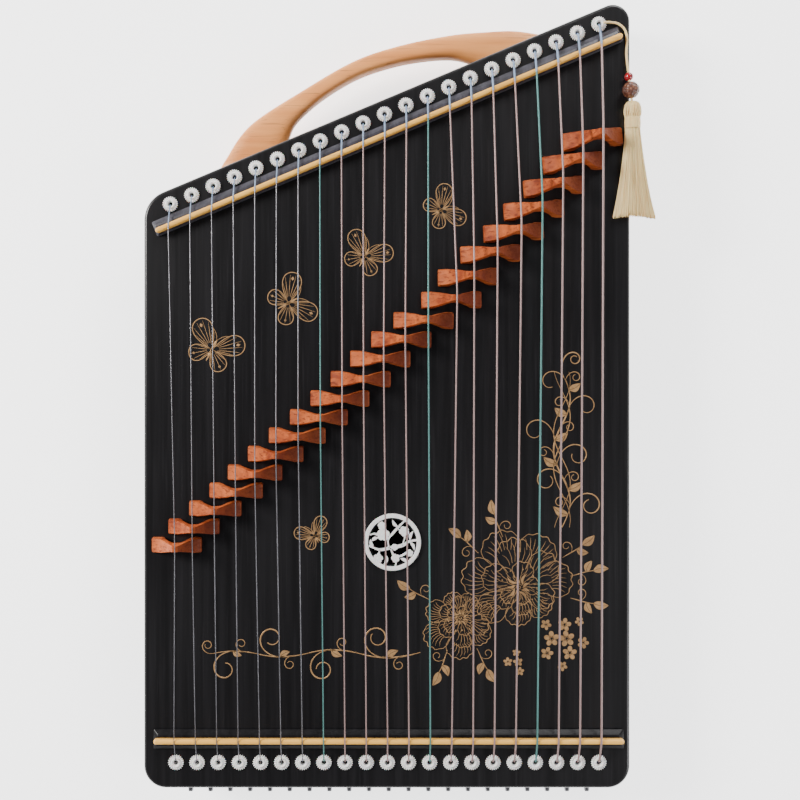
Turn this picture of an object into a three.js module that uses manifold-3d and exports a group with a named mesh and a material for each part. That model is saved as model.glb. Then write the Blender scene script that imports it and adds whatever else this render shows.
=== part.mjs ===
// Portable 21-string guzheng: a flat lacquered sound box with a slanted tail,
// a carrying handle, movable rosewood bridges and a tuning pin for each string.
// Millimetres. X runs across the strings, Y along them towards the slanted tail, Z up.
// Pieces are laid out in case coordinates: Y = 0 is the head end face and Z = 0 the underside.
import * as THREE from 'three';
import * as BufferGeometryUtils from 'three/addons/utils/BufferGeometryUtils.js';
import Module from 'manifold-3d';

const wasm = await Module();
wasm.setup();

// ---- driving dimensions -------------------------------------------------
const STRINGS = 21;
const CLEARANCE = 0.3;
const OVERRUN = 5; // how far a cutting tool runs past the face it cuts

const CASE_WIDTH = 350;
const SHORT_SIDE = 424;
const LONG_SIDE = 571;
const CASE_HEIGHT = 50;
const BACK_THICKNESS = 5;
const BOARD_THICKNESS = 6;
const WALL_THICKNESS = 10;
const EDGE_ROUNDING = 2.5;
const HEAD_CORNER_RADIUS = 16;
const SHORT_CORNER_RADIUS = 22;
const LONG_CORNER_RADIUS = 12;
const CORNER_STEPS = 6;

const PIN_BLOCK_DEPTH = 50;
const TAIL_BLOCK_DEPTH = 36;
const BRACE_Y = 246;
const BRACE_THICKNESS = 12;
const BRACE_SOUND_GAP = [220, 16];

const HEAD_HOLE_INSET = 19;
const TAIL_HOLE_INSET = 10.5;
const HEAD_HOLE_FIRST_X = -151.8;
const HEAD_HOLE_PITCH = 15.21;
const TAIL_HOLE_FIRST_X = -155.9;
const TAIL_HOLE_PITCH = 15.42;
const STRING_HOLE_RADIUS = 2;
const STRING_FIRST_RADIUS = 0.3;
const STRING_RADIUS_STEP = 0.0225;
const STRING_SIDES = 6;
const STRING_CLEARANCE = 0.7; // above the nuts and the bridges
const STRING_LEVEL_REACH = 6; // level run of string each side of a bridge's ridge, so that it can slide
const HITCH_ROD_RADIUS = 2;
const HITCH_ROD_Z = 11;
const HITCH_GROOVE = [9, 17]; // width, and height of its roof
const ROUND_SIDES = 8; // of the string holes, the hitch rod and the pins
const STRING_BEND_REACH = 1; // the string bends from this far inside its hole to this far past it
const STRING_RIM_HEIGHT = 1.5;

const HEAD_NUT_INSET = 36;
const TAIL_NUT_INSET = 25.5;
const HEAD_NUT_HALF_LENGTH = 168;
const TAIL_NUT_HALF_LENGTH = 180;
const HEAD_NUT_SHIFT = 1.2; // towards the long side
const TAIL_NUT_SHIFT = 1.5; // along the slanted edge, towards the long side
const HEAD_NUT_BASE_REACH = [7, 7]; // from the strip's middle, towards the head and towards the tail
const TAIL_NUT_BASE_REACH = [3.2, 8.1];
const NUT_BASE_HEIGHT = 3.7;
const NUT_BASE_BEVEL = 3.5;
const NUT_BASE_SEAT = 2.7; // least reach of the top, under the strip
const NUT_BASE_SKIRT = 1; // height of the upright edge below the bevel
const NUT_STRIP_WIDTH = 3.8;
const NUT_STRIP_HEIGHT = 4;
const NUT_STRIP_ARC_STEPS = 6;
const NUT_END_MARGIN = 1; // the black base runs this far past the strip's ends

const PIN_FIRST_X = -145.3;
const PIN_PITCH = 14.72;
const PIN_HEIGHT = 25;
const PIN_RADIUS = 2.5;
const PIN_BORE_RADIUS = 3.1;
const PIN_BORE_SIDES = 10;
const PIN_PROJECTION = 11.5;
const PIN_HEAD_LENGTH = 9.5;
const PIN_HEAD_RADII = [2.6, 3.3]; // corner radius of the square head at its tip and root
const PIN_HEAD_LAP = 1; // the head runs this far onto the shank
const PIN_DEPTH = 42;
const WINDING_SLOT = [12, 27]; // front and back of the slot where strings wind on the pins
const WINDING_SLOT_FLOOR = 12;
const WINDING_SLOT_MARGIN = 14;

const BRIDGE_X = [-150.9, 14.28, 0.031]; // place of each bridge: first, step, and growth of the step
const BRIDGE_Y = [175.7, 12.14, 0.121];
const BRIDGE_TURN_FROM = 12; // the bass bridges past this one turn a little more each
const BRIDGE_TURN_STEP = 0.8;
// How far each bridge stands off that even row, set by ear: across and along the strings.
const BRIDGE_SETTING = [
  [0, 0], [-2, 1], [-1, 1.4], [-0.5, 1.5], [-1.4, 1.5], [-1.2, 1.6], [-0.3, 1.3],
  [0.5, 0.8], [0.9, 0.3], [1, 0], [0.2, 0], [0.3, -0.8], [1.3, -2], [6.2, -2.4],
  [3, -1.4], [4, -0.4], [5.3, -0.9], [4.5, -1], [3.4, -0.6], [1.8, 0], [0.2, 0],
];
const BRIDGE_WIDTH = [35.4, 0.85]; // at the treble end, and growth from one bridge to the next
const BRIDGE_MOST_WIDTH = 43;
const BRIDGE_HEIGHT = [21, 0.3];
const BRIDGE_THICKNESS = [10.9, 0.1];
const BRIDGE_ARCH = [0.42, 0.45]; // the arch's height at its haunches and crown, as shares of the bridge
const BRIDGE_ARCH_HAUNCH = 0.75;
const BRIDGE_FLANK = [0.4, 0.55]; // what each flank hollows towards, as shares of half width and height
const BRIDGE_RIDGE_CHAMFER = 1;
const BRIDGE_FOOT_HEIGHT = 3.5;
const BRIDGE_FOOT_LENGTH = 9;
const BRIDGE_RIDGE_WIDTH = 4.4;
const BRIDGE_RIDGE_SHIFT = 2;
const BRIDGE_WAIST = 5;
const BRIDGE_WAIST_LENGTH = 8;

const SOUND_HOLE_RADIUS = 16;
const SOUND_HOLE_SIDES = 24;
const ROSETTE_CENTRE = [3.9, 177.5];
const ROSETTE_RADIUS = 20.5;
const ROSETTE_RIM = 3;
const ROSETTE_THICKNESS = 2;
const ROSETTE_SIDES = 32;
const ROSETTE_SPOKES = 5;
const ROSETTE_SPOKE_WIDTH = 3;

const HANDLE_BOTTOM = 16;
const HANDLE_THICKNESS = 18;
const HANDLE_CURVE_STEPS = 24;
// Along the slanted edge from its middle, and outwards from it.
const HANDLE_OUTER = [
  [-136, 0], [-126, 8.5], [-99, 25], [-54, 33.5], [-10, 39],
  [26, 36.5], [64, 29], [90, 20.8], [110, 13.2], [132, 0],
];
const HANDLE_INNER = [[76, 0], [68, 6.7], [50, 17], [21, 24.7], [-15, 27], [-45, 22], [-68, 13], [-80, 0]];

const CORD_RADIUS = 0.85;
const CORD_SIDES = 8;
const CORD_STEPS = 20;
const CORD_ROUTE = [
  [155.2, 550.3, 53.6], [158.5, 550.7, 53.0], [162, 550.9, 51.6], [166, 550.2, 51.3],
  [170.2, 547, 51.3], [172.2, 542, 51.3], [172.4, 536, 51.3], [172.0, 529, 51.4],
  [172.3, 522, 52.2], [172.9, 515.2, 53.2],
];
const RED_BEAD_RADIUS = 3.25;
const RED_BEAD_PLACE = [173.2, 511.4];
const NUT_BEAD_RADIUS = 6;
const NUT_BEAD_PLACE = [174, 501.2];
const BEAD_SEGMENTS = [12, 8];
const TASSEL_PLACE = [175.6, 493.2];
const TASSEL_THICKNESS = 9;
// Down the tassel's left side and back up its right, from the middle of its head.
const TASSEL_LEFT = [[-4, 0], [-5.6, -4], [-5.6, -13], [-5.2, -18], [-5.6, -34], [-13, -81]];
const TASSEL_RIGHT = [[18, -81], [7, -34], [5.6, -18], [6, -13], [6, -4], [4, 0]];

// ---- materials ----------------------------------------------------------
function material(color, roughness, metalness = 0) {
  return new THREE.MeshStandardMaterial({ color, roughness, metalness });
}

const lacquer = material(0x131214, 0.35);
const rawWood = material(0xc9a577, 0.7);
const bamboo = material(0xe3b765, 0.45);
const beech = material(0xe0a878, 0.45);
const rosewood = material(0xa4502c, 0.5);
const steel = material(0xb9b4b8, 0.3, 0.9);
const pinSteel = material(0x9a9aa0, 0.3, 1);
const whitePlastic = material(0xe9e6e4, 0.5);
const creamSilk = material(0xe6d8b8, 0.8);
const redGlaze = material(0xa01218, 0.15);
const carvedNut = material(0x6b3a22, 0.5);

// ---- geometry helpers ---------------------------------------------------
function toSolid(geometry) {
  const bare = geometry.clone();
  bare.deleteAttribute('normal');
  bare.deleteAttribute('uv');
  const merged = BufferGeometryUtils.mergeVertices(bare, 1e-4);
  return new wasm.Manifold(new wasm.Mesh({
    numProp: 3,
    vertProperties: new Float32Array(merged.attributes.position.array),
    triVerts: new Uint32Array(merged.index.array),
  }));
}

function toGeometry(solid) {
  const mesh = solid.getMesh();
  const geometry = new THREE.BufferGeometry();
  geometry.setAttribute('position', new THREE.BufferAttribute(mesh.vertProperties, 3));
  geometry.setIndex(new THREE.BufferAttribute(mesh.triVerts, 1));
  geometry.computeVertexNormals();
  return geometry;
}

function cut(geometry, tools) {
  let solid = toSolid(geometry);
  for (const tool of tools) {
    solid = solid.subtract(toSolid(tool));
  }
  return toGeometry(solid);
}

function common(first, second) {
  return toGeometry(toSolid(first).intersect(toSolid(second)));
}

function join(pieces) {
  let solid = toSolid(pieces[0]);
  for (const piece of pieces.slice(1)) {
    solid = solid.add(toSolid(piece));
  }
  return toGeometry(solid);
}

function boxBetween(low, high) {
  const size = high.map((value, axis) => value - low[axis]);
  const box = new THREE.BoxGeometry(...size);
  return box.translate(...low.map((value, axis) => value + size[axis] / 2));
}

function toVectors(pairs) {
  return pairs.map(([x, y]) => new THREE.Vector2(x, y));
}

function plate(points, bottom, top) {
  const shape = new THREE.Shape(points);
  const options = { depth: top - bottom, bevelEnabled: false };
  return new THREE.ExtrudeGeometry(shape, options).translate(0, 0, bottom);
}

function rodAlongZ(x, y, radius, bottom, top, sides) {
  const rod = new THREE.CylinderGeometry(radius, radius, top - bottom, sides);
  return rod.rotateX(Math.PI / 2).translate(x, y, (bottom + top) / 2);
}

// A curve straight between its points, with one extrusion step per stretch.
class PolylineCurve extends THREE.Curve {
  constructor(points) {
    super();
    this.points = points;
  }

  getPoint(t, target = new THREE.Vector3()) {
    const place = Math.min(Math.max(t, 0), 1) * (this.points.length - 1);
    const index = Math.min(Math.floor(place), this.points.length - 2);
    return target.lerpVectors(this.points[index], this.points[index + 1], place - index);
  }

  getUtoTmapping(u) {
    return u;
  }
}

function regularPolygon(radius, sides) {
  const points = [];
  for (let side = 0; side < sides; side += 1) {
    const angle = (2 * Math.PI * side) / sides;
    points.push(new THREE.Vector2(radius * Math.cos(angle), radius * Math.sin(angle)));
  }
  return new THREE.Shape(points);
}

function wire(points, radius) {
  const extrudePath = new PolylineCurve(points);
  const options = { steps: points.length - 1, extrudePath, bevelEnabled: false };
  return new THREE.ExtrudeGeometry(regularPolygon(radius, STRING_SIDES), options);
}

// ---- case outline -------------------------------------------------------
const HALF_WIDTH = CASE_WIDTH / 2;
const SLANT = Math.atan2(LONG_SIDE - SHORT_SIDE, CASE_WIDTH);
const BOARD_TOP = CASE_HEIGHT;
const BOARD_BOTTOM = CASE_HEIGHT - BOARD_THICKNESS;
const WALL_BOTTOM = BACK_THICKNESS + CLEARANCE;
const WALL_TOP = BOARD_BOTTOM - CLEARANCE;
const ON_BOARD = BOARD_TOP + CLEARANCE;

// Y of the line that runs beside the slanted edge, a distance in from it.
function slantY(x, inset) {
  const edge = SHORT_SIDE + (x + HALF_WIDTH) * Math.tan(SLANT);
  return edge - inset / Math.cos(SLANT);
}

function roundedCorner(before, corner, after, radius) {
  const toBefore = before.clone().sub(corner).normalize();
  const toAfter = after.clone().sub(corner).normalize();
  const halfAngle = Math.acos(toBefore.dot(toAfter)) / 2;
  const bisector = toBefore.clone().add(toAfter).normalize();
  const centre = corner.clone().addScaledVector(bisector, radius / Math.sin(halfAngle));
  const reach = radius / Math.tan(halfAngle);
  const start = corner.clone().addScaledVector(toBefore, reach).sub(centre);
  const turn = Math.PI - 2 * halfAngle;
  const points = [];
  for (let step = 0; step <= CORNER_STEPS; step += 1) {
    const spoke = start.clone().rotateAround(new THREE.Vector2(), (turn * step) / CORNER_STEPS);
    points.push(spoke.add(centre));
  }
  return points;
}

function caseOutline(inset) {
  const corners = [
    [new THREE.Vector2(-HALF_WIDTH + inset, inset), HEAD_CORNER_RADIUS],
    [new THREE.Vector2(HALF_WIDTH - inset, inset), HEAD_CORNER_RADIUS],
    [new THREE.Vector2(HALF_WIDTH - inset, slantY(HALF_WIDTH - inset, inset)), LONG_CORNER_RADIUS],
    [new THREE.Vector2(-HALF_WIDTH + inset, slantY(-HALF_WIDTH + inset, inset)), SHORT_CORNER_RADIUS],
  ];
  return corners.flatMap(([corner, radius], index) => {
    const before = corners[(index + 3) % 4][0];
    const after = corners[(index + 1) % 4][0];
    return roundedCorner(before, corner, after, radius - inset);
  });
}

// ---- string places ------------------------------------------------------
function headHole(index) {
  return new THREE.Vector2(HEAD_HOLE_FIRST_X + HEAD_HOLE_PITCH * index, HEAD_HOLE_INSET);
}

function tailHole(index) {
  const x = TAIL_HOLE_FIRST_X + TAIL_HOLE_PITCH * index;
  return new THREE.Vector2(x, slantY(x, TAIL_HOLE_INSET));
}

function stringRadius(index) {
  return STRING_FIRST_RADIUS + STRING_RADIUS_STEP * index;
}

function pinX(index) {
  return PIN_FIRST_X + PIN_PITCH * index;
}

// A row's value at an index: its first value, its step, and the growth of that step, which may be none.
function along([first, step, growth = 0], index) {
  return first + step * index + growth * index ** 2;
}

// The bridges climb in a gentle curve: long strings at +X, short ones at -X.
function bridgePlace(index) {
  const [across, forward] = BRIDGE_SETTING[index];
  return {
    x: along(BRIDGE_X, index) + across,
    y: along(BRIDGE_Y, index) + forward,
    turn: THREE.MathUtils.degToRad(Math.max(0, BRIDGE_TURN_STEP * (index - BRIDGE_TURN_FROM))),
    width: Math.min(BRIDGE_MOST_WIDTH, along(BRIDGE_WIDTH, index)),
    height: along(BRIDGE_HEIGHT, index),
    footThickness: along(BRIDGE_THICKNESS, index),
  };
}

// ---- sound box ----------------------------------------------------------
function soundboard() {
  const outline = caseOutline(EDGE_ROUNDING);
  const options = {
    depth: BOARD_THICKNESS,
    bevelThickness: EDGE_ROUNDING,
    bevelSize: EDGE_ROUNDING,
    bevelSegments: 3,
  };
  const slab = new THREE.ExtrudeGeometry(new THREE.Shape(outline), options);
  slab.translate(0, 0, BOARD_TOP - BOARD_THICKNESS - EDGE_ROUNDING);
  const reach = LONG_SIDE + OVERRUN;
  const throughBoard = [BOARD_BOTTOM - 1, BOARD_TOP + 1];
  const tools = [boxBetween([-reach, -OVERRUN, 0], [reach, reach, BOARD_BOTTOM])];
  for (let index = 0; index < STRINGS; index += 1) {
    for (const hole of [headHole(index), tailHole(index)]) {
      tools.push(rodAlongZ(hole.x, hole.y, STRING_HOLE_RADIUS, ...throughBoard, ROUND_SIDES));
    }
  }
  const [x, y] = ROSETTE_CENTRE;
  tools.push(rodAlongZ(x, y, SOUND_HOLE_RADIUS, ...throughBoard, SOUND_HOLE_SIDES));
  return cut(slab, tools);
}

function backBoard() {
  return plate(caseOutline(0), 0, BACK_THICKNESS);
}

function wallBlank() {
  return plate(caseOutline(0), WALL_BOTTOM, WALL_TOP);
}

function pinBlock() {
  const region = boxBetween(
    [-HALF_WIDTH - OVERRUN, -OVERRUN, 0],
    [HALF_WIDTH + OVERRUN, PIN_BLOCK_DEPTH, CASE_HEIGHT],
  );
  const slotEnd = HALF_WIDTH - WINDING_SLOT_MARGIN;
  const tools = [boxBetween(
    [-slotEnd, WINDING_SLOT[0], WINDING_SLOT_FLOOR],
    [slotEnd, WINDING_SLOT[1], CASE_HEIGHT],
  )];
  for (let index = 0; index < STRINGS; index += 1) {
    const length = PIN_DEPTH + 2 * CLEARANCE + OVERRUN;
    const bore = new THREE.CylinderGeometry(PIN_BORE_RADIUS, PIN_BORE_RADIUS, length, PIN_BORE_SIDES);
    tools.push(bore.translate(pinX(index), length / 2 - OVERRUN, PIN_HEIGHT));
  }
  return cut(common(wallBlank(), region), tools);
}

function tailBlock() {
  const reach = HALF_WIDTH + OVERRUN;
  const region = plate([
    new THREE.Vector2(-reach, slantY(-reach, TAIL_BLOCK_DEPTH)),
    new THREE.Vector2(reach, slantY(reach, TAIL_BLOCK_DEPTH)),
    new THREE.Vector2(reach, LONG_SIDE + reach),
    new THREE.Vector2(-reach, LONG_SIDE + reach),
  ], 0, CASE_HEIGHT);
  const [width, roof] = HITCH_GROOVE;
  const ends = [tailHole(0), tailHole(STRINGS - 1)];
  const length = ends[0].distanceTo(ends[1]) + 2 * width;
  const groove = new THREE.BoxGeometry(length, width, roof).rotateZ(SLANT);
  groove.translate((ends[0].x + ends[1].x) / 2, (ends[0].y + ends[1].y) / 2, roof / 2);
  const tools = [groove];
  for (let index = 0; index < STRINGS; index += 1) {
    const hole = tailHole(index);
    tools.push(rodAlongZ(hole.x, hole.y, STRING_HOLE_RADIUS, roof - 1, CASE_HEIGHT, ROUND_SIDES));
  }
  return cut(common(wallBlank(), region), tools);
}

function sideRail(side) {
  const inner = side * (HALF_WIDTH - WALL_THICKNESS);
  const outer = side * HALF_WIDTH;
  const front = PIN_BLOCK_DEPTH + CLEARANCE;
  const inset = TAIL_BLOCK_DEPTH + CLEARANCE;
  const points = [
    new THREE.Vector2(inner, front),
    new THREE.Vector2(outer, front),
    new THREE.Vector2(outer, slantY(outer, inset)),
    new THREE.Vector2(inner, slantY(inner, inset)),
  ];
  return plate(points, WALL_BOTTOM, WALL_TOP);
}

function brace() {
  const reach = HALF_WIDTH - WALL_THICKNESS - CLEARANCE;
  const [gapLength, gapHeight] = BRACE_SOUND_GAP;
  const low = [-reach, BRACE_Y - BRACE_THICKNESS / 2, WALL_BOTTOM];
  const high = [reach, BRACE_Y + BRACE_THICKNESS / 2, WALL_TOP];
  const gap = boxBetween(
    [-gapLength / 2, low[1] - OVERRUN, 0],
    [gapLength / 2, high[1] + OVERRUN, WALL_BOTTOM + gapHeight],
  );
  return cut(boxBetween(low, high), [gap]);
}

// ---- nuts ---------------------------------------------------------------
// Both nuts are profiles in the Y-Z plane, extruded along X and centred on it.
function extrudeAlongX(profile, halfLength) {
  const shape = new THREE.Shape(toVectors(profile));
  const bar = new THREE.ExtrudeGeometry(shape, { depth: 2 * halfLength, bevelEnabled: false });
  bar.translate(0, 0, -halfLength);
  return bar.rotateX(Math.PI / 2).rotateZ(Math.PI / 2);
}

function nutBase(halfLength, reaches) {
  const [headward, tailward] = reaches;
  const [headCrown, tailCrown] = reaches.map((reach) => Math.max(reach - NUT_BASE_BEVEL, NUT_BASE_SEAT));
  const profile = [
    [-headward, 0], [tailward, 0], [tailward, NUT_BASE_SKIRT],
    [tailCrown, NUT_BASE_HEIGHT], [-headCrown, NUT_BASE_HEIGHT], [-headward, NUT_BASE_SKIRT],
  ];
  return extrudeAlongX(profile, halfLength + NUT_END_MARGIN);
}

function nutStrip(halfLength) {
  const radius = NUT_STRIP_WIDTH / 2;
  const profile = [[-radius, 0], [radius, 0]];
  for (let step = 0; step <= NUT_STRIP_ARC_STEPS; step += 1) {
    const angle = (Math.PI * step) / NUT_STRIP_ARC_STEPS;
    profile.push([radius * Math.cos(angle), NUT_STRIP_HEIGHT - radius + radius * Math.sin(angle)]);
  }
  return extrudeAlongX(profile, halfLength);
}

const STRIP_BOTTOM = ON_BOARD + NUT_BASE_HEIGHT + CLEARANCE;
const NUT_TOP = STRIP_BOTTOM + NUT_STRIP_HEIGHT;

// ---- strings ------------------------------------------------------------
function stringRoute(index) {
  const radius = stringRadius(index);
  const head = headHole(index);
  const tail = tailHole(index);
  const bridge = bridgePlace(index);
  const nutZ = NUT_TOP + STRING_CLEARANCE + radius;
  const ridgeZ = ON_BOARD + bridge.height + STRING_CLEARANCE + radius;
  const tailNutY = slantY(tail.x, TAIL_NUT_INSET);
  const insideHole = BOARD_TOP - STRING_BEND_REACH;
  const rimZ = BOARD_TOP + STRING_RIM_HEIGHT;
  return [
    new THREE.Vector3(tail.x, tail.y, HITCH_ROD_Z),
    new THREE.Vector3(tail.x, tail.y, insideHole),
    new THREE.Vector3(tail.x, tail.y - STRING_BEND_REACH, rimZ),
    new THREE.Vector3(tail.x, tailNutY, nutZ),
    new THREE.Vector3(bridge.x + BRIDGE_RIDGE_SHIFT, bridge.y + STRING_LEVEL_REACH, ridgeZ),
    new THREE.Vector3(bridge.x + BRIDGE_RIDGE_SHIFT, bridge.y - STRING_LEVEL_REACH, ridgeZ),
    new THREE.Vector3(head.x, HEAD_NUT_INSET, nutZ),
    new THREE.Vector3(head.x, head.y + STRING_BEND_REACH, rimZ),
    new THREE.Vector3(head.x, head.y, insideHole),
    new THREE.Vector3(head.x, head.y, BOARD_BOTTOM),
    new THREE.Vector3(pinX(index), head.y, PIN_HEIGHT + PIN_RADIUS + CLEARANCE + radius),
  ];
}

function strings() {
  const ends = [tailHole(0), tailHole(STRINGS - 1)];
  const length = ends[0].distanceTo(ends[1]) + 2 * HITCH_ROD_RADIUS;
  const rod = new THREE.CylinderGeometry(HITCH_ROD_RADIUS, HITCH_ROD_RADIUS, length, ROUND_SIDES);
  rod.rotateZ(SLANT - Math.PI / 2);
  rod.translate((ends[0].x + ends[1].x) / 2, (ends[0].y + ends[1].y) / 2, HITCH_ROD_Z);
  const pieces = [rod];
  for (let index = 0; index < STRINGS; index += 1) {
    pieces.push(wire(stringRoute(index), stringRadius(index)));
  }
  return join(pieces);
}

// ---- moving pieces ------------------------------------------------------
function tuningPin() {
  const shankLength = PIN_DEPTH + PIN_PROJECTION - PIN_HEAD_LENGTH;
  const shank = new THREE.CylinderGeometry(PIN_RADIUS, PIN_RADIUS, shankLength, ROUND_SIDES);
  shank.translate(0, PIN_DEPTH - shankLength / 2, 0);
  const [tip, root] = PIN_HEAD_RADII;
  const headLength = PIN_HEAD_LENGTH + PIN_HEAD_LAP;
  const head = new THREE.CylinderGeometry(root, tip, headLength, 4);
  head.rotateY(Math.PI / 4).translate(0, headLength / 2 - PIN_PROJECTION, 0);
  return join([shank, head]);
}

// Seen from the head end: two feet, an open arch and a narrow ridge for the string.
function bridgeFront(width, height, thickness) {
  const half = width / 2;
  const inner = half - BRIDGE_FOOT_LENGTH;
  const ridge = BRIDGE_RIDGE_WIDTH / 2;
  const haunchX = inner * BRIDGE_ARCH_HAUNCH;
  const [haunchZ, crownZ] = BRIDGE_ARCH.map((share) => share * height);
  const flankX = half * BRIDGE_FLANK[0];
  const flankZ = height * BRIDGE_FLANK[1];
  const shoulder = height - BRIDGE_RIDGE_CHAMFER;
  const flat = ridge - BRIDGE_RIDGE_CHAMFER;
  const shape = new THREE.Shape();
  shape.moveTo(-half, 0);
  shape.lineTo(-inner, 0);
  shape.quadraticCurveTo(-haunchX, haunchZ, 0, crownZ);
  shape.quadraticCurveTo(haunchX, haunchZ, inner, 0);
  shape.lineTo(half, 0);
  shape.lineTo(half, BRIDGE_FOOT_HEIGHT);
  shape.quadraticCurveTo(flankX, flankZ, BRIDGE_RIDGE_SHIFT + ridge, shoulder);
  shape.lineTo(BRIDGE_RIDGE_SHIFT + flat, height);
  shape.lineTo(BRIDGE_RIDGE_SHIFT - flat, height);
  shape.lineTo(BRIDGE_RIDGE_SHIFT - ridge, shoulder);
  shape.quadraticCurveTo(-flankX, flankZ, -half, BRIDGE_FOOT_HEIGHT);
  const options = { depth: thickness, bevelEnabled: false, curveSegments: 4 };
  const slab = new THREE.ExtrudeGeometry(shape, options);
  return slab.translate(0, 0, -thickness / 2).rotateX(Math.PI / 2);
}

// Seen from above: a bow tie, thick over the feet and thin at the waist.
function bridgePlan(width, height, thickness) {
  const half = width / 2;
  const neck = BRIDGE_WAIST_LENGTH / 2;
  const foot = half - BRIDGE_FOOT_LENGTH;
  const lobe = thickness / 2;
  const waist = BRIDGE_WAIST / 2;
  const left = [[-half, lobe], [-foot, lobe], [BRIDGE_RIDGE_SHIFT - neck, waist]];
  const right = [[BRIDGE_RIDGE_SHIFT + neck, waist], [foot, lobe], [half, lobe]];
  const upper = [...left, ...right];
  const lower = upper.map(([x, y]) => [x, -y]).reverse();
  return plate(toVectors([...lower, ...upper]), -1, height + 1);
}

function bridge(place) {
  const { width, height, footThickness } = place;
  const front = bridgeFront(width, height, footThickness + 2 * OVERRUN);
  return common(front, bridgePlan(width, height, footThickness));
}

// ---- trim ---------------------------------------------------------------
function rosette() {
  const disc = rodAlongZ(0, 0, ROSETTE_RADIUS, 0, ROSETTE_THICKNESS, ROSETTE_SIDES);
  const hole = rodAlongZ(0, 0, ROSETTE_RADIUS - ROSETTE_RIM, -1, ROSETTE_THICKNESS + 1, ROSETTE_SIDES);
  const pieces = [cut(disc, [hole])];
  for (let spoke = 0; spoke < ROSETTE_SPOKES; spoke += 1) {
    const bar = boxBetween(
      [0, -ROSETTE_SPOKE_WIDTH / 2, 0],
      [ROSETTE_RADIUS - 1, ROSETTE_SPOKE_WIDTH / 2, ROSETTE_THICKNESS],
    );
    pieces.push(bar.rotateZ((2 * Math.PI * spoke) / ROSETTE_SPOKES));
  }
  return join(pieces);
}

function handle() {
  const outer = new THREE.SplineCurve(toVectors(HANDLE_OUTER)).getPoints(HANDLE_CURVE_STEPS);
  const inner = new THREE.SplineCurve(toVectors(HANDLE_INNER)).getPoints(HANDLE_CURVE_STEPS);
  return plate([...outer, ...inner].reverse(), 0, HANDLE_THICKNESS);
}

function tassel() {
  return plate(toVectors([...TASSEL_LEFT, ...TASSEL_RIGHT]), 0, TASSEL_THICKNESS);
}

function tasselCord() {
  const extrudePath = new THREE.CatmullRomCurve3(CORD_ROUTE.map((point) => new THREE.Vector3(...point)));
  const options = { steps: CORD_STEPS, extrudePath, bevelEnabled: false };
  return new THREE.ExtrudeGeometry(regularPolygon(CORD_RADIUS, CORD_SIDES), options);
}

function bead(radius) {
  return new THREE.SphereGeometry(radius, ...BEAD_SEGMENTS);
}

// ---- assembly -----------------------------------------------------------
function named(name, geometry, look) {
  const mesh = new THREE.Mesh(geometry, look);
  mesh.name = name;
  return mesh;
}

function at(mesh, x, y, z) {
  mesh.position.set(x, y, z);
  return mesh;
}

function number(index) {
  return String(index + 1).padStart(2, '0');
}

function soundBox() {
  return [
    named('soundboard', soundboard(), lacquer),
    named('back_board', backBoard(), lacquer),
    named('pin_block', pinBlock(), lacquer),
    named('tail_block', tailBlock(), lacquer),
    named('side_rail_left', sideRail(-1), lacquer),
    named('side_rail_right', sideRail(1), lacquer),
    named('brace', brace(), rawWood),
    at(named('rosette', rosette(), whitePlastic), ...ROSETTE_CENTRE, ON_BOARD),
  ];
}

function headNut() {
  const group = new THREE.Group();
  group.position.set(HEAD_NUT_SHIFT, HEAD_NUT_INSET, ON_BOARD);
  group.add(named('front_nut_base', nutBase(HEAD_NUT_HALF_LENGTH, HEAD_NUT_BASE_REACH), lacquer));
  const strip = named('front_nut_strip', nutStrip(HEAD_NUT_HALF_LENGTH), bamboo);
  group.add(at(strip, 0, 0, STRIP_BOTTOM - ON_BOARD));
  return group;
}

function tailNut() {
  const group = new THREE.Group();
  const x = TAIL_NUT_SHIFT * Math.cos(SLANT);
  group.position.set(x, slantY(x, TAIL_NUT_INSET), ON_BOARD);
  group.rotation.z = SLANT;
  group.add(named('rear_nut_base', nutBase(TAIL_NUT_HALF_LENGTH, TAIL_NUT_BASE_REACH), lacquer));
  const strip = named('rear_nut_strip', nutStrip(TAIL_NUT_HALF_LENGTH), bamboo);
  group.add(at(strip, 0, 0, STRIP_BOTTOM - ON_BOARD));
  return group;
}

function carryingHandle() {
  const group = new THREE.Group();
  group.position.set(0, slantY(0, -CLEARANCE), HANDLE_BOTTOM);
  group.rotation.z = SLANT;
  group.add(named('handle', handle(), beech));
  return group;
}

function bridges() {
  const meshes = [];
  for (let index = 0; index < STRINGS; index += 1) {
    const place = bridgePlace(index);
    const mesh = at(named(`bridge_${number(index)}`, bridge(place), rosewood), place.x, place.y, ON_BOARD);
    mesh.rotation.z = place.turn;
    meshes.push(mesh);
  }
  return meshes;
}

function tuningPins() {
  const geometry = tuningPin();
  const meshes = [];
  for (let index = 0; index < STRINGS; index += 1) {
    meshes.push(at(named(`tuning_pin_${number(index)}`, geometry, pinSteel), pinX(index), 0, PIN_HEIGHT));
  }
  return meshes;
}

function tasselPieces() {
  return [
    named('tassel_cord', tasselCord(), creamSilk),
    at(named('bead_red', bead(RED_BEAD_RADIUS), redGlaze), ...RED_BEAD_PLACE, ON_BOARD + RED_BEAD_RADIUS),
    at(named('bead_nut', bead(NUT_BEAD_RADIUS), carvedNut), ...NUT_BEAD_PLACE, ON_BOARD + NUT_BEAD_RADIUS),
    at(named('tassel', tassel(), creamSilk), ...TASSEL_PLACE, ON_BOARD),
  ];
}

function guzheng() {
  const instrument = new THREE.Group();
  instrument.add(...soundBox(), headNut(), tailNut(), carryingHandle());
  instrument.add(named('strings', strings(), steel), ...bridges(), ...tuningPins());
  const box = new THREE.Box3().setFromObject(instrument, true);
  const centre = box.getCenter(new THREE.Vector3());
  instrument.add(...tasselPieces());
  instrument.position.set(-centre.x, -centre.y, -box.min.z);
  return instrument;
}

const part = new THREE.Group();
part.add(guzheng());

export default part;
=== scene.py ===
import math
import random

import bmesh
import bpy
from mathutils import Matrix, Vector


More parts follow.
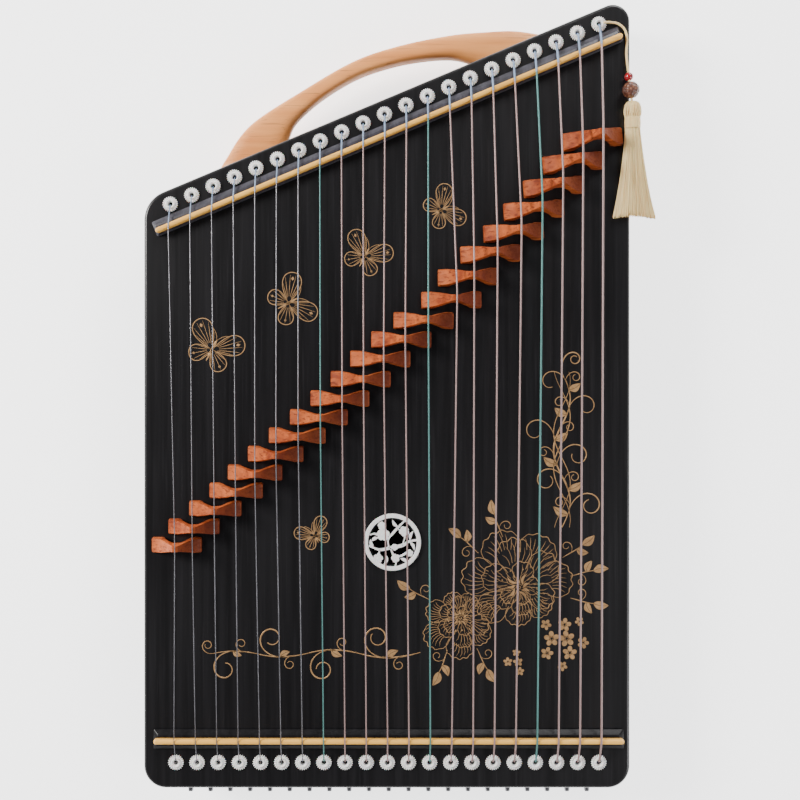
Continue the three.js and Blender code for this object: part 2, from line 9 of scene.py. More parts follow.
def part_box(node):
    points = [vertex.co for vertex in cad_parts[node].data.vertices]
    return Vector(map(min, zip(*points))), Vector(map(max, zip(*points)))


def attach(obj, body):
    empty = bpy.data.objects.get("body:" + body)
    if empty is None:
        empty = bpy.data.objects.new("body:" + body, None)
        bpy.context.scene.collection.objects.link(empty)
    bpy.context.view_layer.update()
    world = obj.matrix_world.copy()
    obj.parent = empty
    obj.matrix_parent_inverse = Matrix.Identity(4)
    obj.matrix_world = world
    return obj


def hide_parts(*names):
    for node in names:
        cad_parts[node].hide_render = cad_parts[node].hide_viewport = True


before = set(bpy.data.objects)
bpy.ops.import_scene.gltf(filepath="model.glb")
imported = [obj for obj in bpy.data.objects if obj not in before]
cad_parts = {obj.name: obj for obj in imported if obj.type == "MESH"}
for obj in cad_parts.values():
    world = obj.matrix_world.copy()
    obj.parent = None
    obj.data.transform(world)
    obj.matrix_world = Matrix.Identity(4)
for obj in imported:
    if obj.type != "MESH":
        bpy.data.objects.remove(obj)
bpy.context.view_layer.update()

RANDOM = random.Random(21)

# ---- layout, in millimetres from the head end face and the underside of the case ----
MM = 0.001
STRINGS = 21
HEAD_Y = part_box("soundboard")[0][1]  # in metres, as the frame has it
BOARD_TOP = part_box("soundboard")[1][2] / MM
HALF_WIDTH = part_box("soundboard")[1][0] / MM
SHORT_SIDE = 424
LONG_SIDE = 571
SLANT = math.atan2(LONG_SIDE - SHORT_SIDE, 2 * HALF_WIDTH)
CORNER_RADII = (16, 16, 12, 22)
CORNER_STEPS = 16
BOARD_ROUNDING = 2.5
HEAD_ROW = (-151.8, 15.21)  # X of the first place in a row, and the spacing
TAIL_ROW = (-155.9, 15.42)
PIN_ROW = (-145.3, 14.72)
HEAD_HOLE_INSET = 19
TAIL_HOLE_INSET = 10.5
HEAD_NUT_INSET = 36
TAIL_NUT_INSET = 25.5
NUT_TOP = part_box("front_nut_strip")[1][2] / MM
TREBLE_STRING_RADIUS = 0.3
STRING_RADIUS_STEP = 0.0225
RIDGE_SHIFT = 2
RIDGE_LEVEL = 6  # the strings lie level this far either side of a ridge, over the bridge's slide
TASSEL_TOP = (175.6, 493.2)


def at(x, y, z):
    """A point of the case, in metres in the frame."""
    return Vector((x * MM, HEAD_Y + y * MM, z * MM))


def raised(outline, height):
    """Points over an outline of X and Y, all at one height."""
    return [at(point[0], point[1], height) for point in outline]


def heights(node):
    """Z of the bottom and top of a node's box."""
    return tuple(corner[2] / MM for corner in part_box(node))


def middle_of(node):
    """X and Y of the middle of a node's box."""
    low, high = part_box(node)
    return (low[0] + high[0]) / 2 / MM, ((low[1] + high[1]) / 2 - HEAD_Y) / MM


def unit(angle):
    return Vector((math.cos(angle), math.sin(angle)))


def left_of(vector):
    return Vector((-vector.y, vector.x))


def polar(centre, radius, angle):
    return Vector((centre[0] + radius * math.cos(angle), centre[1] + radius * math.sin(angle)))


def disc(centre, radius, sides):
    """X and Y round a circle."""
    return [polar(centre, radius, 2 * math.pi * side / sides) for side in range(sides)]


def numbered(prefix, index):
    return f"{prefix}_{index + 1:02d}"


def slant_y(x, inset):
    """Y of the line beside the slanted edge, a distance in from it."""
    edge = SHORT_SIDE + (x + HALF_WIDTH) * math.tan(SLANT)
    return edge - inset / math.cos(SLANT)


def from_slant(u, v):
    """X and Y of a point u along the slanted edge and v outwards from it."""
    x = u * math.cos(SLANT) - v * math.sin(SLANT)
    y = slant_y(0, 0) + u * math.sin(SLANT) + v * math.cos(SLANT)
    return x, y


def along_row(row, index):
    first, spacing = row
    return first + spacing * index


def head_hole(index):
    return along_row(HEAD_ROW, index), HEAD_HOLE_INSET


def tail_hole(index):
    x = along_row(TAIL_ROW, index)
    return x, slant_y(x, TAIL_HOLE_INSET)


def string_radius(index):
    return TREBLE_STRING_RADIUS + STRING_RADIUS_STEP * index


# ---- camera and lights ----
EYE_HEIGHT = 0.74
FIELD_WIDTH = 0.576
FIELD_CENTRE = (9.4, 279.7)
SENSOR_WIDTH = 36
camera_data = bpy.data.cameras.new("camera")
camera_data.sensor_width = SENSOR_WIDTH
camera_data.lens = SENSOR_WIDTH * EYE_HEIGHT / FIELD_WIDTH
camera_data.shift_x = 0.045
camera_data.shift_y = -0.0275
camera = bpy.data.objects.new("camera", camera_data)
camera.location = at(*FIELD_CENTRE, BOARD_TOP) + Vector((
    -camera_data.shift_x * FIELD_WIDTH,
    -camera_data.shift_y * FIELD_WIDTH,
    EYE_HEIGHT,
))
bpy.context.scene.collection.objects.link(camera)
bpy.context.scene.camera = camera


def soft_light(name, place, target, size, power, colour=(1, 1, 1)):
    data = bpy.data.lights.new(name, "AREA")
    data.shape = "DISK"
    data.size = size
    data.energy = power
    data.color = colour
    light = bpy.data.objects.new(name, data)
    light.location = place
    light.rotation_euler = (Vector(target) - Vector(place)).to_track_quat("-Z", "Y").to_euler()
    bpy.context.scene.collection.objects.link(light)


soft_light("key", (-1.6, 0.6, 1.15), (0, 0, 0.05), 0.7, 62, (1, 0.98, 0.95))
soft_light("fill", (1.5, -0.7, 1.3), (0, 0, 0.05), 1.0, 17, (0.97, 0.98, 1))
soft_light("back", (0.7, 1.6, 1.1), (0, 0.1, 0.05), 0.9, 22)


def white_room():
    """Pale all round, and dim straight overhead, where a black cloth hides the camera."""
    world = bpy.data.worlds.new("studio")
    bpy.context.scene.world = world
    world.use_nodes = True
    nodes = world.node_tree.nodes
    links = world.node_tree.links
    background = nodes["Background"]
    direction = nodes.new("ShaderNodeTexCoord")
    axes = nodes.new("ShaderNodeSeparateXYZ")
    ramp = nodes.new("ShaderNodeValToRGB")
    links.new(direction.outputs["Generated"], axes.inputs[0])
    links.new(axes.outputs["Z"], ramp.inputs["Fac"])
    links.new(ramp.outputs["Color"], background.inputs["Color"])
    stops = ((0.0, 0.85), (0.5, 0.8), (0.8, 0.25), (0.93, 0.02))
    while len(ramp.color_ramp.elements) < len(stops):
        ramp.color_ramp.elements.new(0.5)
    for element, (position, grey) in zip(ramp.color_ramp.elements, stops):
        element.position = position
        element.color = (grey, grey, grey * 1.01, 1)
    background.inputs["Strength"].default_value = 0.9


white_room()


# ---- materials ----
FLOOR_GLOW = 2.4


class Look:
    """A procedural material, built up node by node around one Principled shader."""

    def __init__(self, name, colour, roughness, **settings):
        self.material = bpy.data.materials.new(name)
        self.material.use_nodes = True
        self.tree = self.material.node_tree
        self.shader = self.tree.nodes["Principled BSDF"]
        self.shader.inputs["Base Color"].default_value = (*colour, 1)
        self.shader.inputs["Roughness"].default_value = roughness
        for socket, value in settings.items():
            self.shader.inputs[socket.replace("_", " ")].default_value = value

    def node(self, kind, inputs=(), **attributes):
        node = self.tree.nodes.new(kind)
        for name, value in attributes.items():
            setattr(node, name, value)
        for socket, value in dict(inputs).items():
            if isinstance(value, bpy.types.NodeSocket):
                self.tree.links.new(value, node.inputs[socket])
            else:
                node.inputs[socket].default_value = value
        return node

    def place(self, stretch=(1, 1, 1), turn=0):
        coordinates = self.node("ShaderNodeTexCoord").outputs["Object"]
        mapping = {"Vector": coordinates, "Scale": stretch, "Rotation": (0, 0, turn)}
        return self.node("ShaderNodeMapping", mapping).outputs["Vector"]

    def noise(self, scale, stretch=(1, 1, 1), detail=4, distortion=0, turn=0):
        place = self.place(stretch, turn)
        inputs = {"Vector": place, "Scale": scale, "Detail": detail, "Distortion": distortion}
        return self.node("ShaderNodeTexNoise", inputs).outputs["Fac"]

    def cells(self, scale):
        return self.node("ShaderNodeTexVoronoi", {"Vector": self.place(), "Scale": scale}).outputs["Distance"]

    def between(self, value, low, high, out_low=0, out_high=1):
        inputs = {"Value": value, "From Min": low, "From Max": high, "To Min": out_low, "To Max": out_high}
        return self.node("ShaderNodeMapRange", inputs).outputs["Result"]

    def mix(self, factor, first, second):
        inputs = {0: factor}
        for socket, value in ((6, first), (7, second)):
            inputs[socket] = value if isinstance(value, bpy.types.NodeSocket) else (*value, 1)
        return self.node("ShaderNodeMix", inputs, data_type="RGBA").outputs[2]

    def fade(self, value, low, high, first, second, most=1):
        """The first colour, giving way to the second as the value rises from low to high."""
        return self.mix(self.between(value, low, high, 0, most), first, second)

    def connect(self, socket, output):
        self.tree.links.new(output, self.shader.inputs[socket])

    def paint(self, output):
        self.connect("Base Color", output)

    def roughen(self, noise, low, high):
        self.connect("Roughness", self.between(noise, 0.3, 0.7, low, high))

    def bump(self, height, distance, strength):
        inputs = {"Height": height, "Distance": distance, "Strength": strength}
        if self.shader.inputs["Normal"].is_linked:
            inputs["Normal"] = self.shader.inputs["Normal"].links[0].from_socket
        self.connect("Normal", self.node("ShaderNodeBump", inputs).outputs["Normal"])

    def normal(self):
        return self.node("ShaderNodeNewGeometry").outputs["Normal"]

    def edge_wear(self, colour, wear, radius):
        """Paint rubbed at the edges, where the bevelled normal departs from the true one."""
        bevel = self.node("ShaderNodeBevel", {"Radius": radius}, samples=4).outputs["Normal"]
        inputs = {0: bevel, 1: self.normal()}
        dot = self.node("ShaderNodeVectorMath", inputs, operation="DOT_PRODUCT").outputs["Value"]
        return self.fade(dot, 0.995, 0.9, colour, wear)


def lifted(grey, lift):
    """A grey made lighter, and bluer with it."""
    return grey * lift, 0.95 * grey * lift, (1.0 + 0.06 * lift) * grey * lift


def lacquer_look(name="lacquer", lift=1.0, shine=1.0):
    """Black satin lacquer; lift greys it towards a lighter blue-black, which on the rear nut base is a
    painted reflection of the light off its bevel, and shine scales its reflections.
    """
    look = Look(name, (0.010, 0.0095, 0.0105), 0.3, Specular_IOR_Level=0.36 * shine,
                Coat_Weight=0.2 * shine, Coat_Roughness=0.16)
    streaks = look.noise(9, (22, 0.5, 22), 6, 0.4)
    grain = look.noise(40, (16, 0.35, 16), 3)
    tone = look.fade(streaks, 0.35, 0.7, lifted(0.0065, lift), lifted(0.0125, lift))
    tone = look.fade(grain, 0.55, 0.8, tone, lifted(0.017, lift))
    dust = look.between(look.cells(190), 0.05, 0.02)
    thin = look.between(look.noise(60, detail=1), 0.58, 0.72)
    specks = look.node("ShaderNodeMath", {0: dust, 1: thin}, operation="MULTIPLY").outputs[0]
    look.paint(look.mix(specks, tone, (0.05, 0.047, 0.045)))
    look.roughen(look.noise(5, detail=3), 0.27, 0.38)
    look.bump(streaks, 0.00012, 0.25)
    look.bump(grain, 0.00006, 0.3)
    return look.material


def wood_look(name, light, dark, pore, roughness, turn=0, **settings):
    """Long fibres along X or turned from it, broad bands across them, and short dark pores."""
    look = Look(name, light, roughness, **settings)
    bands = look.noise(150, (0.08, 1, 1), 5, 0.6, turn)
    fibres = look.noise(900, (0.02, 1, 1), 3, 0, turn)
    tone = look.fade(bands, 0.36, 0.66, light, dark)
    tone = look.fade(look.noise(45, detail=2), 0.35, 0.7, tone, light, 0.35)
    look.paint(look.fade(fibres, 0.6, 0.72, tone, pore, 0.7))
    look.roughen(fibres, roughness - 0.06, roughness + 0.1)
    look.bump(fibres, 0.0001, 0.45)
    look.bump(bands, 0.0002, 0.2)
    return look.material


def rosewood_look():
    """Orange rosewood with long open pores; faces turned towards +X, away from the key light, get a painted
    shade darker than the lit faces.
    """
    look = Look("rosewood", (0.45, 0.12, 0.04), 0.56, Specular_IOR_Level=0.16)
    bands = look.noise(130, (0.12, 1, 1), 6, 0.9)
    fibres = look.noise(620, (0.05, 1, 0.6), 4, 0.3)
    tone = look.fade(bands, 0.36, 0.64, (0.50, 0.108, 0.026), (0.25, 0.042, 0.011))
    tone = look.fade(look.noise(38, detail=3), 0.42, 0.62, tone, (0.58, 0.145, 0.036), 0.6)
    tone = look.fade(fibres, 0.54, 0.68, tone, (0.15, 0.026, 0.010), 0.85)
    # painted shade: the colour darkens as a face turns towards +X, the side away from the key light
    painted_shade_side = look.node("ShaderNodeSeparateXYZ", {"Vector": look.normal()}).outputs["X"]
    look.paint(look.fade(painted_shade_side, 0.05, 0.5, tone, (0.11, 0.018, 0.008), 0.75))
    look.roughen(fibres, 0.44, 0.62)
    look.bump(fibres, 0.00035, 0.7)
    look.bump(bands, 0.0006, 0.35)
    return look.material


def steel_look(name, colour, roughness):
    look = Look(name, colour, roughness, Metallic=1.0)
    smear = look.noise(700, (1, 0.05, 1), 3)
    look.paint(look.fade(smear, 0.4, 0.7, colour, tuple(0.7 * channel for channel in colour)))
    look.roughen(smear, roughness - 0.06, roughness + 0.1)
    look.bump(smear, 0.00004, 0.4)
    return look.material


def wrap_look(name, colour, shade, metallic=0.35):
    """Nylon or silk thread wound round a steel core, seen as fine rings along the string."""
    look = Look(name, colour, 0.42, Metallic=metallic, Specular_IOR_Level=0.6)
    inputs = {"Vector": look.place(), "Scale": 420.0, "Distortion": 0.4}
    rings = look.node("ShaderNodeTexWave", inputs, bands_direction="Y").outputs["Fac"]
    wear = look.noise(300, (1, 0.02, 1), 2)
    tone = look.fade(rings, 0.2, 0.8, shade, colour)
    look.paint(look.fade(wear, 0.5, 0.75, tone, shade, 0.5))
    look.bump(rings, 0.00005, 0.5)
    return look.material


def plastic_look():
    look = Look("white_plastic", (0.78, 0.765, 0.75), 0.38, Subsurface_Weight=0.08, Subsurface_Scale=0.002)
    mottle = look.noise(420, detail=3)
    grime = look.noise(90, detail=2)
    tone = look.fade(grime, 0.45, 0.75, (0.90, 0.885, 0.875), (0.76, 0.74, 0.73), 0.6)
    look.paint(look.edge_wear(tone, (0.95, 0.94, 0.93), 0.0004))
    look.roughen(mottle, 0.3, 0.48)
    look.bump(mottle, 0.00008, 0.4)
    return look.material


def gold_look():
    look = Look("gold_line", (0.46, 0.27, 0.13), 0.45, Metallic=0.45)
    leaf = look.noise(260)
    tone = look.fade(leaf, 0.35, 0.7, (0.62, 0.37, 0.17), (0.36, 0.20, 0.085))
    look.paint(look.fade(look.noise(70, detail=3), 0.55, 0.8, tone, (0.20, 0.11, 0.055), 0.6))
    look.roughen(leaf, 0.34, 0.55)
    look.bump(leaf, 0.00003, 0.4)
    return look.material


def silk_look(light, shade):
    look = Look("silk", light, 0.5, Sheen_Weight=0.1, Sheen_Roughness=0.35, Subsurface_Weight=0.1,
                Subsurface_Scale=0.001)
    strands = look.noise(1400, (1, 0.05, 1), 3)
    clumps = look.noise(260, (1, 0.15, 1), 2)
    tone = look.fade(strands, 0.35, 0.7, light, shade)
    look.paint(look.fade(clumps, 0.4, 0.75, tone, shade, 0.5))
    look.bump(strands, 0.00008, 0.5)
    return look.material


def glaze_look():
    look = Look("red_glaze", (0.32, 0.006, 0.012), 0.12, Coat_Weight=1.0, Coat_Roughness=0.04)
    swirl = look.noise(420, detail=3, distortion=0.8)
    look.paint(look.fade(swirl, 0.4, 0.7, (0.42, 0.010, 0.016), (0.17, 0.003, 0.006)))
    look.bump(swirl, 0.00005, 0.2)
    return look.material


def carved_look():
    look = Look("carved_nut", (0.19, 0.075, 0.04), 0.4, Coat_Weight=0.3, Coat_Roughness=0.25)
    hollows = look.cells(420)
    tone = look.fade(hollows, 0.15, 0.5, (0.30, 0.13, 0.07), (0.08, 0.026, 0.014))
    look.paint(look.fade(look.noise(500, detail=3), 0.4, 0.7, tone, (0.14, 0.045, 0.03), 0.5))
    look.bump(hollows, 0.0005, 0.6)
    return look.material


def floor_look():
    """White paper, lit a little from below as on a light table."""
    look = Look("floor", (0.9, 0.9, 0.9), 0.7, Emission_Strength=FLOOR_GLOW)
    mottle = look.noise(6, detail=3)
    look.paint(look.mix(mottle, (0.9, 0.9, 0.9), (0.88, 0.88, 0.885)))
    look.connect("Emission Color", look.mix(mottle, (1, 1, 1), (0.98, 0.98, 0.985)))
    return look.material


LACQUER = lacquer_look()
# painted reflection: lacquer greyed to blue-black so the rear nut base shows the light its bevel reflects
NUT_LACQUER_PAINTED_REFLECTION = lacquer_look("nut_lacquer_painted_reflection", 4.2)
DULL_LACQUER = lacquer_look("dull_lacquer", 1.0, 0.3)
RAW_WOOD = wood_look("raw_wood", (0.55, 0.36, 0.19), (0.38, 0.22, 0.10), (0.25, 0.14, 0.06), 0.6)
BAMBOO = wood_look("bamboo", (0.95, 0.53, 0.11), (0.82, 0.41, 0.07), (0.5, 0.26, 0.06), 0.4,
                   Specular_IOR_Level=0.3, Coat_Weight=0.1, Coat_Roughness=0.2)
BEECH = wood_look("beech", (0.90, 0.37, 0.115), (0.76, 0.265, 0.07), (0.42, 0.145, 0.05), 0.42, -SLANT,
                  Specular_IOR_Level=0.3, Coat_Weight=0.06, Coat_Roughness=0.3)
ROSEWOOD = rosewood_look()
STRING_STEEL = steel_look("string_steel", (0.24, 0.235, 0.255), 0.36)
STRING_ROSE = wrap_look("string_rose", (0.44, 0.30, 0.285), (0.26, 0.17, 0.165))
STRING_TEAL = wrap_look("string_teal", (0.12, 0.31, 0.29), (0.055, 0.17, 0.16))
TAIL_WRAP = wrap_look("tail_wrap", (0.30, 0.39, 0.55), (0.16, 0.23, 0.36), 0.1)
PIN_STEEL = steel_look("pin_steel", (0.34, 0.34, 0.36), 0.32)
WHITE_PLASTIC = plastic_look()
GOLD_LINE = gold_look()
SILK = silk_look((0.98, 0.76, 0.39), (0.84, 0.58, 0.25))
RED_GLAZE = glaze_look()
CARVED_NUT = carved_look()


# ---- making pieces ----
def add_piece(name, mesh, material, body="case", slot=None, replaces=()):
    mesh.materials.append(material)
    piece = bpy.data.objects.new(name, mesh)
    bpy.context.scene.collection.objects.link(piece)
    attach(piece, body)
    if replaces:
        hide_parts(*replaces)
    return piece


def mesh_from(name, points, faces):
    mesh = bpy.data.meshes.new(name)
    mesh.from_pydata([tuple(point) for point in points], [], faces)
    builder = bmesh.new()
    builder.from_mesh(mesh)
    bmesh.ops.recalc_face_normals(builder, faces=builder.faces)
    builder.to_mesh(mesh)
    builder.free()
    return mesh


def shade(mesh, crease=None):
    """Smooth shading, except over edges that turn by more than the crease angle, in degrees."""
    mesh.polygons.foreach_set("use_smooth", [True] * len(mesh.polygons))
    if crease:
        mesh.set_sharp_from_angle(angle=math.radians(crease))


def solid(name, skin, material, crease=None, **piece_settings):
    """A piece from a skin, which is a list of points and one of faces."""
    mesh = mesh_from(name, *skin)
    shade(mesh, crease)
    return add_piece(name, mesh, material, **piece_settings)


def loft(rings, closed=False):
    """Points and faces of a skin through rings of points, with its ends capped unless it closes."""
    count = len(rings[0])
    points = [point for ring in rings for point in ring]
    faces = []
    last = len(rings) if closed else len(rings) - 1
    for row in range(last):
        near = row * count
        far = ((row + 1) % len(rings)) * count
        for column in range(count):
            after = (column + 1) % count
            faces.append((near + column, near + after, far + after, far + column))
    if not closed:
        faces.append(tuple(reversed(range(count))))
        faces.append(tuple(range((len(rings) - 1) * count, len(rings) * count)))
    return points, faces


def merged(parts):
    """One list of points and faces from several."""
    points = []
    faces = []
    for part_points, part_faces in parts:
        start = len(points)
        points.extend(part_points)
        faces.extend(tuple(start + index for index in face) for face in part_faces)
    return points, faces


def modify(piece, kind, **settings):
    modifier = piece.modifiers.new(kind.lower(), kind)
    for name, value in settings.items():
        setattr(modifier, name, value)


def drill(piece, tools):
    """Cut closed meshes out of a piece."""
    mesh = mesh_from("drill", *merged(tools))
    tool = bpy.data.objects.new("drill", mesh)
    bpy.context.scene.collection.objects.link(tool)
    modify(piece, "BOOLEAN", operation="DIFFERENCE", object=tool, solver="EXACT")
    graph = bpy.context.evaluated_depsgraph_get()
    drilled = bpy.data.meshes.new_from_object(piece.evaluated_get(graph))
    piece.modifiers.clear()
    piece.data = drilled
    bpy.data.objects.remove(tool)
    bpy.data.meshes.remove(mesh)


def ring_of(centre, first, second, sides):
    """Points round a centre, spanned by two vectors."""
    angles = [2 * math.pi * side / sides for side in range(sides)]
    return [centre + first * math.cos(angle) + second * math.sin(angle) for angle in angles]


def rod(start, end, radius, sides):
    along = (end - start).normalized()
    side = along.orthogonal().normalized() * radius
    other = along.cross(side)
    return loft([ring_of(start, side, other, sides), ring_of(end, side, other, sides)])


def turned(profile, centre, sides, closed=False):
    """A body of revolution about a line along Y: profile is (radius, distance along it) from end to end."""
    along = Vector((0, 1, 0))
    side = along.orthogonal().normalized()
    other = along.cross(side)
    rings = []
    for radius, distance in profile:
        reach = radius * MM
        rings.append(ring_of(centre + along * distance * MM, side * reach, other * reach, sides))
    return loft(rings, closed)


def catmull(points, steps):
    """A smooth open curve through points, given as lists of numbers or vectors."""
    knots = [Vector(point) for point in points]
    knots = [2 * knots[0] - knots[1], *knots, 2 * knots[-1] - knots[-2]]
    smooth = []
    for index in range(1, len(knots) - 2):
        a, b, c, d = knots[index - 1:index + 3]
        for step in range(steps):
            t = step / steps
            smooth.append(0.5 * (2 * b + (c - a) * t + (2 * a - 5 * b + 4 * c - d) * t ** 2
                                 + (3 * b - a - 3 * c + d) * t ** 3))
    smooth.append(knots[-2])
    return smooth


def wire(name, routes, radius, material, resolution=3, **piece_settings):
    """A round wire along each route; the routes are lists of points in metres."""
    data = bpy.data.curves.new(name, "CURVE")
    data.dimensions = "3D"
    data.bevel_depth = radius * MM
    data.bevel_resolution = resolution
    data.use_fill_caps = True
    for route in routes:
        spline = data.splines.new("POLY")
        spline.points.add(len(route) - 1)
        for knot, point in zip(spline.points, route):
            knot.co = (*point, 1)
            knot.radius = 1
    return add_piece(name, data, material, **piece_settings)


# ---- tassel cord, with the beads on it ----
CORD_DIAMETER = 1.7
CORD_ROUTE = (
    (155.2, 550.3, 53.6), (158.5, 550.7, 53.0), (162, 550.9, 51.6), (166, 550.2, 51.3),
    (170.2, 547, 51.3), (172.2, 542, 51.3), (172.4, 536, 51.3), (172.0, 529, 51.4),
    (172.3, 522, 52.2), (172.9, 515.2, 53.2), (173.2, 511.4, 53.6), (173.6, 506, 55.1),
    (174, 501.2, 56.3), (174.6, 495.5, 55.6), (175.3, 489, 54.8), (175.6, 476, 54.6),
    (175.6, 464, 54.6), (175.6, 456, 54.6),
)
RED_BEAD_RADIUS = 3.2
RED_BEAD = at(173.2, 511.4, 53.55)
NUT_BEAD_RADIUS = 5.9
NUT_BEAD = at(174, 501.2, 56.3)
CARVING = 0.045  # the carving's depth, as a share of the bead's radius


def bead(radius, mouth, hole, centre, steps, sides):
    """A ball bored along Y: down its outside from one mouth to the other, and back up through the hole."""
    start = math.asin(mouth / radius)
    profile = []
    for step in range(steps + 1):
        angle = start + (math.pi - 2 * start) * step / steps
        profile.append((radius * math.sin(angle), -radius * math.cos(angle)))
    profile += [(hole, profile[-1][1]), (hole, profile[0][1])]
    return turned(profile, centre, sides, closed=True)


def make_beads():
    red = solid("glazed_bead", bead(RED_BEAD_RADIUS, 0.95, 0.9, RED_BEAD, 14, 32), RED_GLAZE,
                slot="red_glaze", replaces=["bead_red"])
    points, faces = bead(NUT_BEAD_RADIUS, 1.0, 0.95, NUT_BEAD, 36, 64)
    carved = []
    for point in points:
        offset = point - NUT_BEAD
        around = math.atan2(offset.x, offset.z)
        along = math.asin(max(-1, min(1, offset.y / (NUT_BEAD_RADIUS * MM))))
        ridge = math.sin(7 * around + 5 * along) * math.sin(6 * along - 3 * around)
        ring = math.hypot(offset.x, offset.z) / (NUT_BEAD_RADIUS * MM)
        carved.append(NUT_BEAD + offset * (1 + CARVING * ridge * min(1, 3 * max(0, ring - 0.2))))
    nut = solid("carved_bead", (carved, faces), CARVED_NUT, slot="carved_nut", replaces=["bead_nut"])
    return [red, nut]


def make_tassel_cord():
    route = [at(*point) for point in catmull(CORD_ROUTE, 2)]
    return wire("silk_cord", [route], CORD_DIAMETER / 2, SILK, 4, slot="silk", replaces=["tassel_cord"])


beads = make_beads()
tassel_cord = make_tassel_cord()


# ---- tassel ----
TASSEL_LENGTH = 81
TASSEL_LEAN = 2.2
THREADS = 620
THREAD_START = 15
SKIRT_START = 17
NECK_DEPTH = 4.8  # the middle of the tassel's neck stands this far above the board
BINDING_TURNS = 11
HEAD_STRANDS = 46
HEAD_SHAPE = (  # distance down the tassel, and radius
    (0.6, 1.1), (0.1, 2.6), (1.4, 4.6), (4.5, 5.7), (8.5, 5.9), (11.0, 5.2), (14.0, 4.6),
)
CORE_SHAPE = (  # radius, and distance down the tassel
    (0.5, 0.8), (3.0, 1.0), (4.6, 3.0), (5.3, 7.0), (4.6, 12.0), (4.2, 18.0), (3.4, 26.0), (0.5, 30.0),
)


def tassel_point(along, across, depth):
    """A point of the tassel: along runs down from its head, depth up from the board."""
    x, y = TASSEL_TOP
    return at(x + across, y - along, BOARD_TOP + depth)


def tassel_ring(along, half_width, half_depth, sides):
    """An oval ring round the tassel."""
    centre = tassel_point(along, 0, NECK_DEPTH)
    return ring_of(centre, Vector((half_width, 0, 0)) * MM, Vector((0, 0, half_depth)) * MM, sides)


def skirt_half_width(along):
    """The skirt flares slowly below the binding and faster near its ends."""
    t = max(0, (along - SKIRT_START) / (TASSEL_LENGTH - SKIRT_START))
    return 5.0 + 5.6 * t + 4.6 * t ** 2.2


def skirt_thread():
    """One thread, from inside the binding to its cut end, with a little wander of its own."""
    spread = RANDOM.uniform(-1, 1)
    layer = RANDOM.random()
    end = TASSEL_LENGTH + RANDOM.uniform(-2.4, 1.2) + 1.5 * spread * spread
    wander = RANDOM.uniform(-0.7, 0.7)
    phase = RANDOM.uniform(0, 6.28)
    dome = math.sqrt(max(0, 1 - spread * spread))
    route = []
    steps = 9
    for step in range(steps + 1):
        along = THREAD_START + (end - THREAD_START) * step / steps
        t = step / steps
        across = spread * skirt_half_width(along) + wander * math.sin(2.4 * t + phase) * t + TASSEL_LEAN * t
        height = 4.6 + (layer - 0.5) * 2 * dome * (3.6 - 1.6 * t) - 1.1 * t
        past_edge = max(0, TASSEL_TOP[0] + across - HALF_WIDTH - 1)
        sag = min(3.2, 0.02 * past_edge ** 2)
        route.append(tassel_point(along, across, max(0.5, height) - sag))
    return route


def head_loops():
    """The threads fold over the cord at the top of the tassel, in a round knob."""
    routes = []
    for strand in range(HEAD_STRANDS):
        angle = 2 * math.pi * strand / HEAD_STRANDS
        lean = 0.35 * math.sin(5 * angle)
        route = []
        for along, radius in HEAD_SHAPE:
            around = angle + lean * along / 15
            depth = 4.9 + 0.72 * radius * math.sin(around)
            route.append(tassel_point(along, radius * math.cos(around), depth))
        routes.append(catmull(route, 3))
    return routes


def binding_turns():
    """Close turns of thread round the neck, each a flattened ring."""
    rings = []
    for turn in range(BINDING_TURNS):
        grow = 0.25 * math.sin(math.pi * turn / (BINDING_TURNS - 1))
        ring = tassel_ring(11.4 + 0.72 * turn, 5.15 + grow, 3.75 + grow, 40)
        rings.append([*ring, ring[0]])
    return rings


def make_tassel():
    core = loft([tassel_ring(along, radius, 0.7 * radius, 24) for radius, along in CORE_SHAPE])
    return [
        solid("tassel_core", core, SILK, slot="silk"),
        wire("tassel_head", head_loops(), 0.42, SILK, 2, slot="silk"),
        wire("tassel_binding", binding_turns(), 0.45, SILK, 3, slot="silk"),
        wire("tassel_skirt", [skirt_thread() for _ in range(THREADS)], 0.26, SILK, 1, slot="silk",
             replaces=["tassel"]),
    ]


tassel = make_tassel()


# ---- sound box ----
SKIN_THICKNESS = 0.15
SKIN_INNER_FACE = 0.03  # this far outside the walls
BACK_ROUNDING = 1.6
STRING_BORE = 1.9
PIN_BORE = 3.1
BACK_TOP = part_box("back_board")[1][2] / MM
SOUND_HOLE_RADIUS = 16
ROSETTE_X, ROSETTE_Y = 3.9, 177.5


def rounded_corner(before, corner, after, radius):
    to_before = (before - corner).normalized()
    to_after = (after - corner).normalized()
    half_angle = to_before.angle(to_after) / 2
    centre = corner + (to_before + to_after).normalized() * radius / math.sin(half_angle)
    spoke = corner + to_before * radius / math.tan(half_angle) - centre
    start = math.atan2(spoke.y, spoke.x)
    turn = math.pi - 2 * half_angle
    return [centre + unit(start + turn * step / CORNER_STEPS) * radius for step in range(CORNER_STEPS + 1)]


def case_outline(inset):
    """X and Y round the case, anticlockwise from above, a distance in from its sides."""
    side = HALF_WIDTH - inset
    corners = [Vector(corner) for corner in (
        (-side, inset), (side, inset), (side, slant_y(side, inset)), (-side, slant_y(-side, inset)),
    )]
    outline = []
    for index, radius in enumerate(CORNER_RADII):
        before, corner, after = corners[index - 1], corners[index], corners[(index + 1) % 4]
        outline.extend(rounded_corner(before, corner, after, radius - inset))
    return outline


def slab(levels):
    """A closed solid from outlines at heights: levels is (inset, height) from bottom to top."""
    return loft([raised(case_outline(inset), height) for inset, height in levels])


def quarter_round(radius, height, upwards, steps=6):
    """Insets and heights round an edge of the case."""
    levels = []
    for step in range(steps + 1):
        angle = math.pi / 2 * step / steps
        inset = radius * (1 - math.cos(angle))
        rise = radius * math.sin(angle)
        levels.append((inset - SKIN_THICKNESS, height + rise if upwards else height - rise))
    return levels if upwards else levels[::-1]


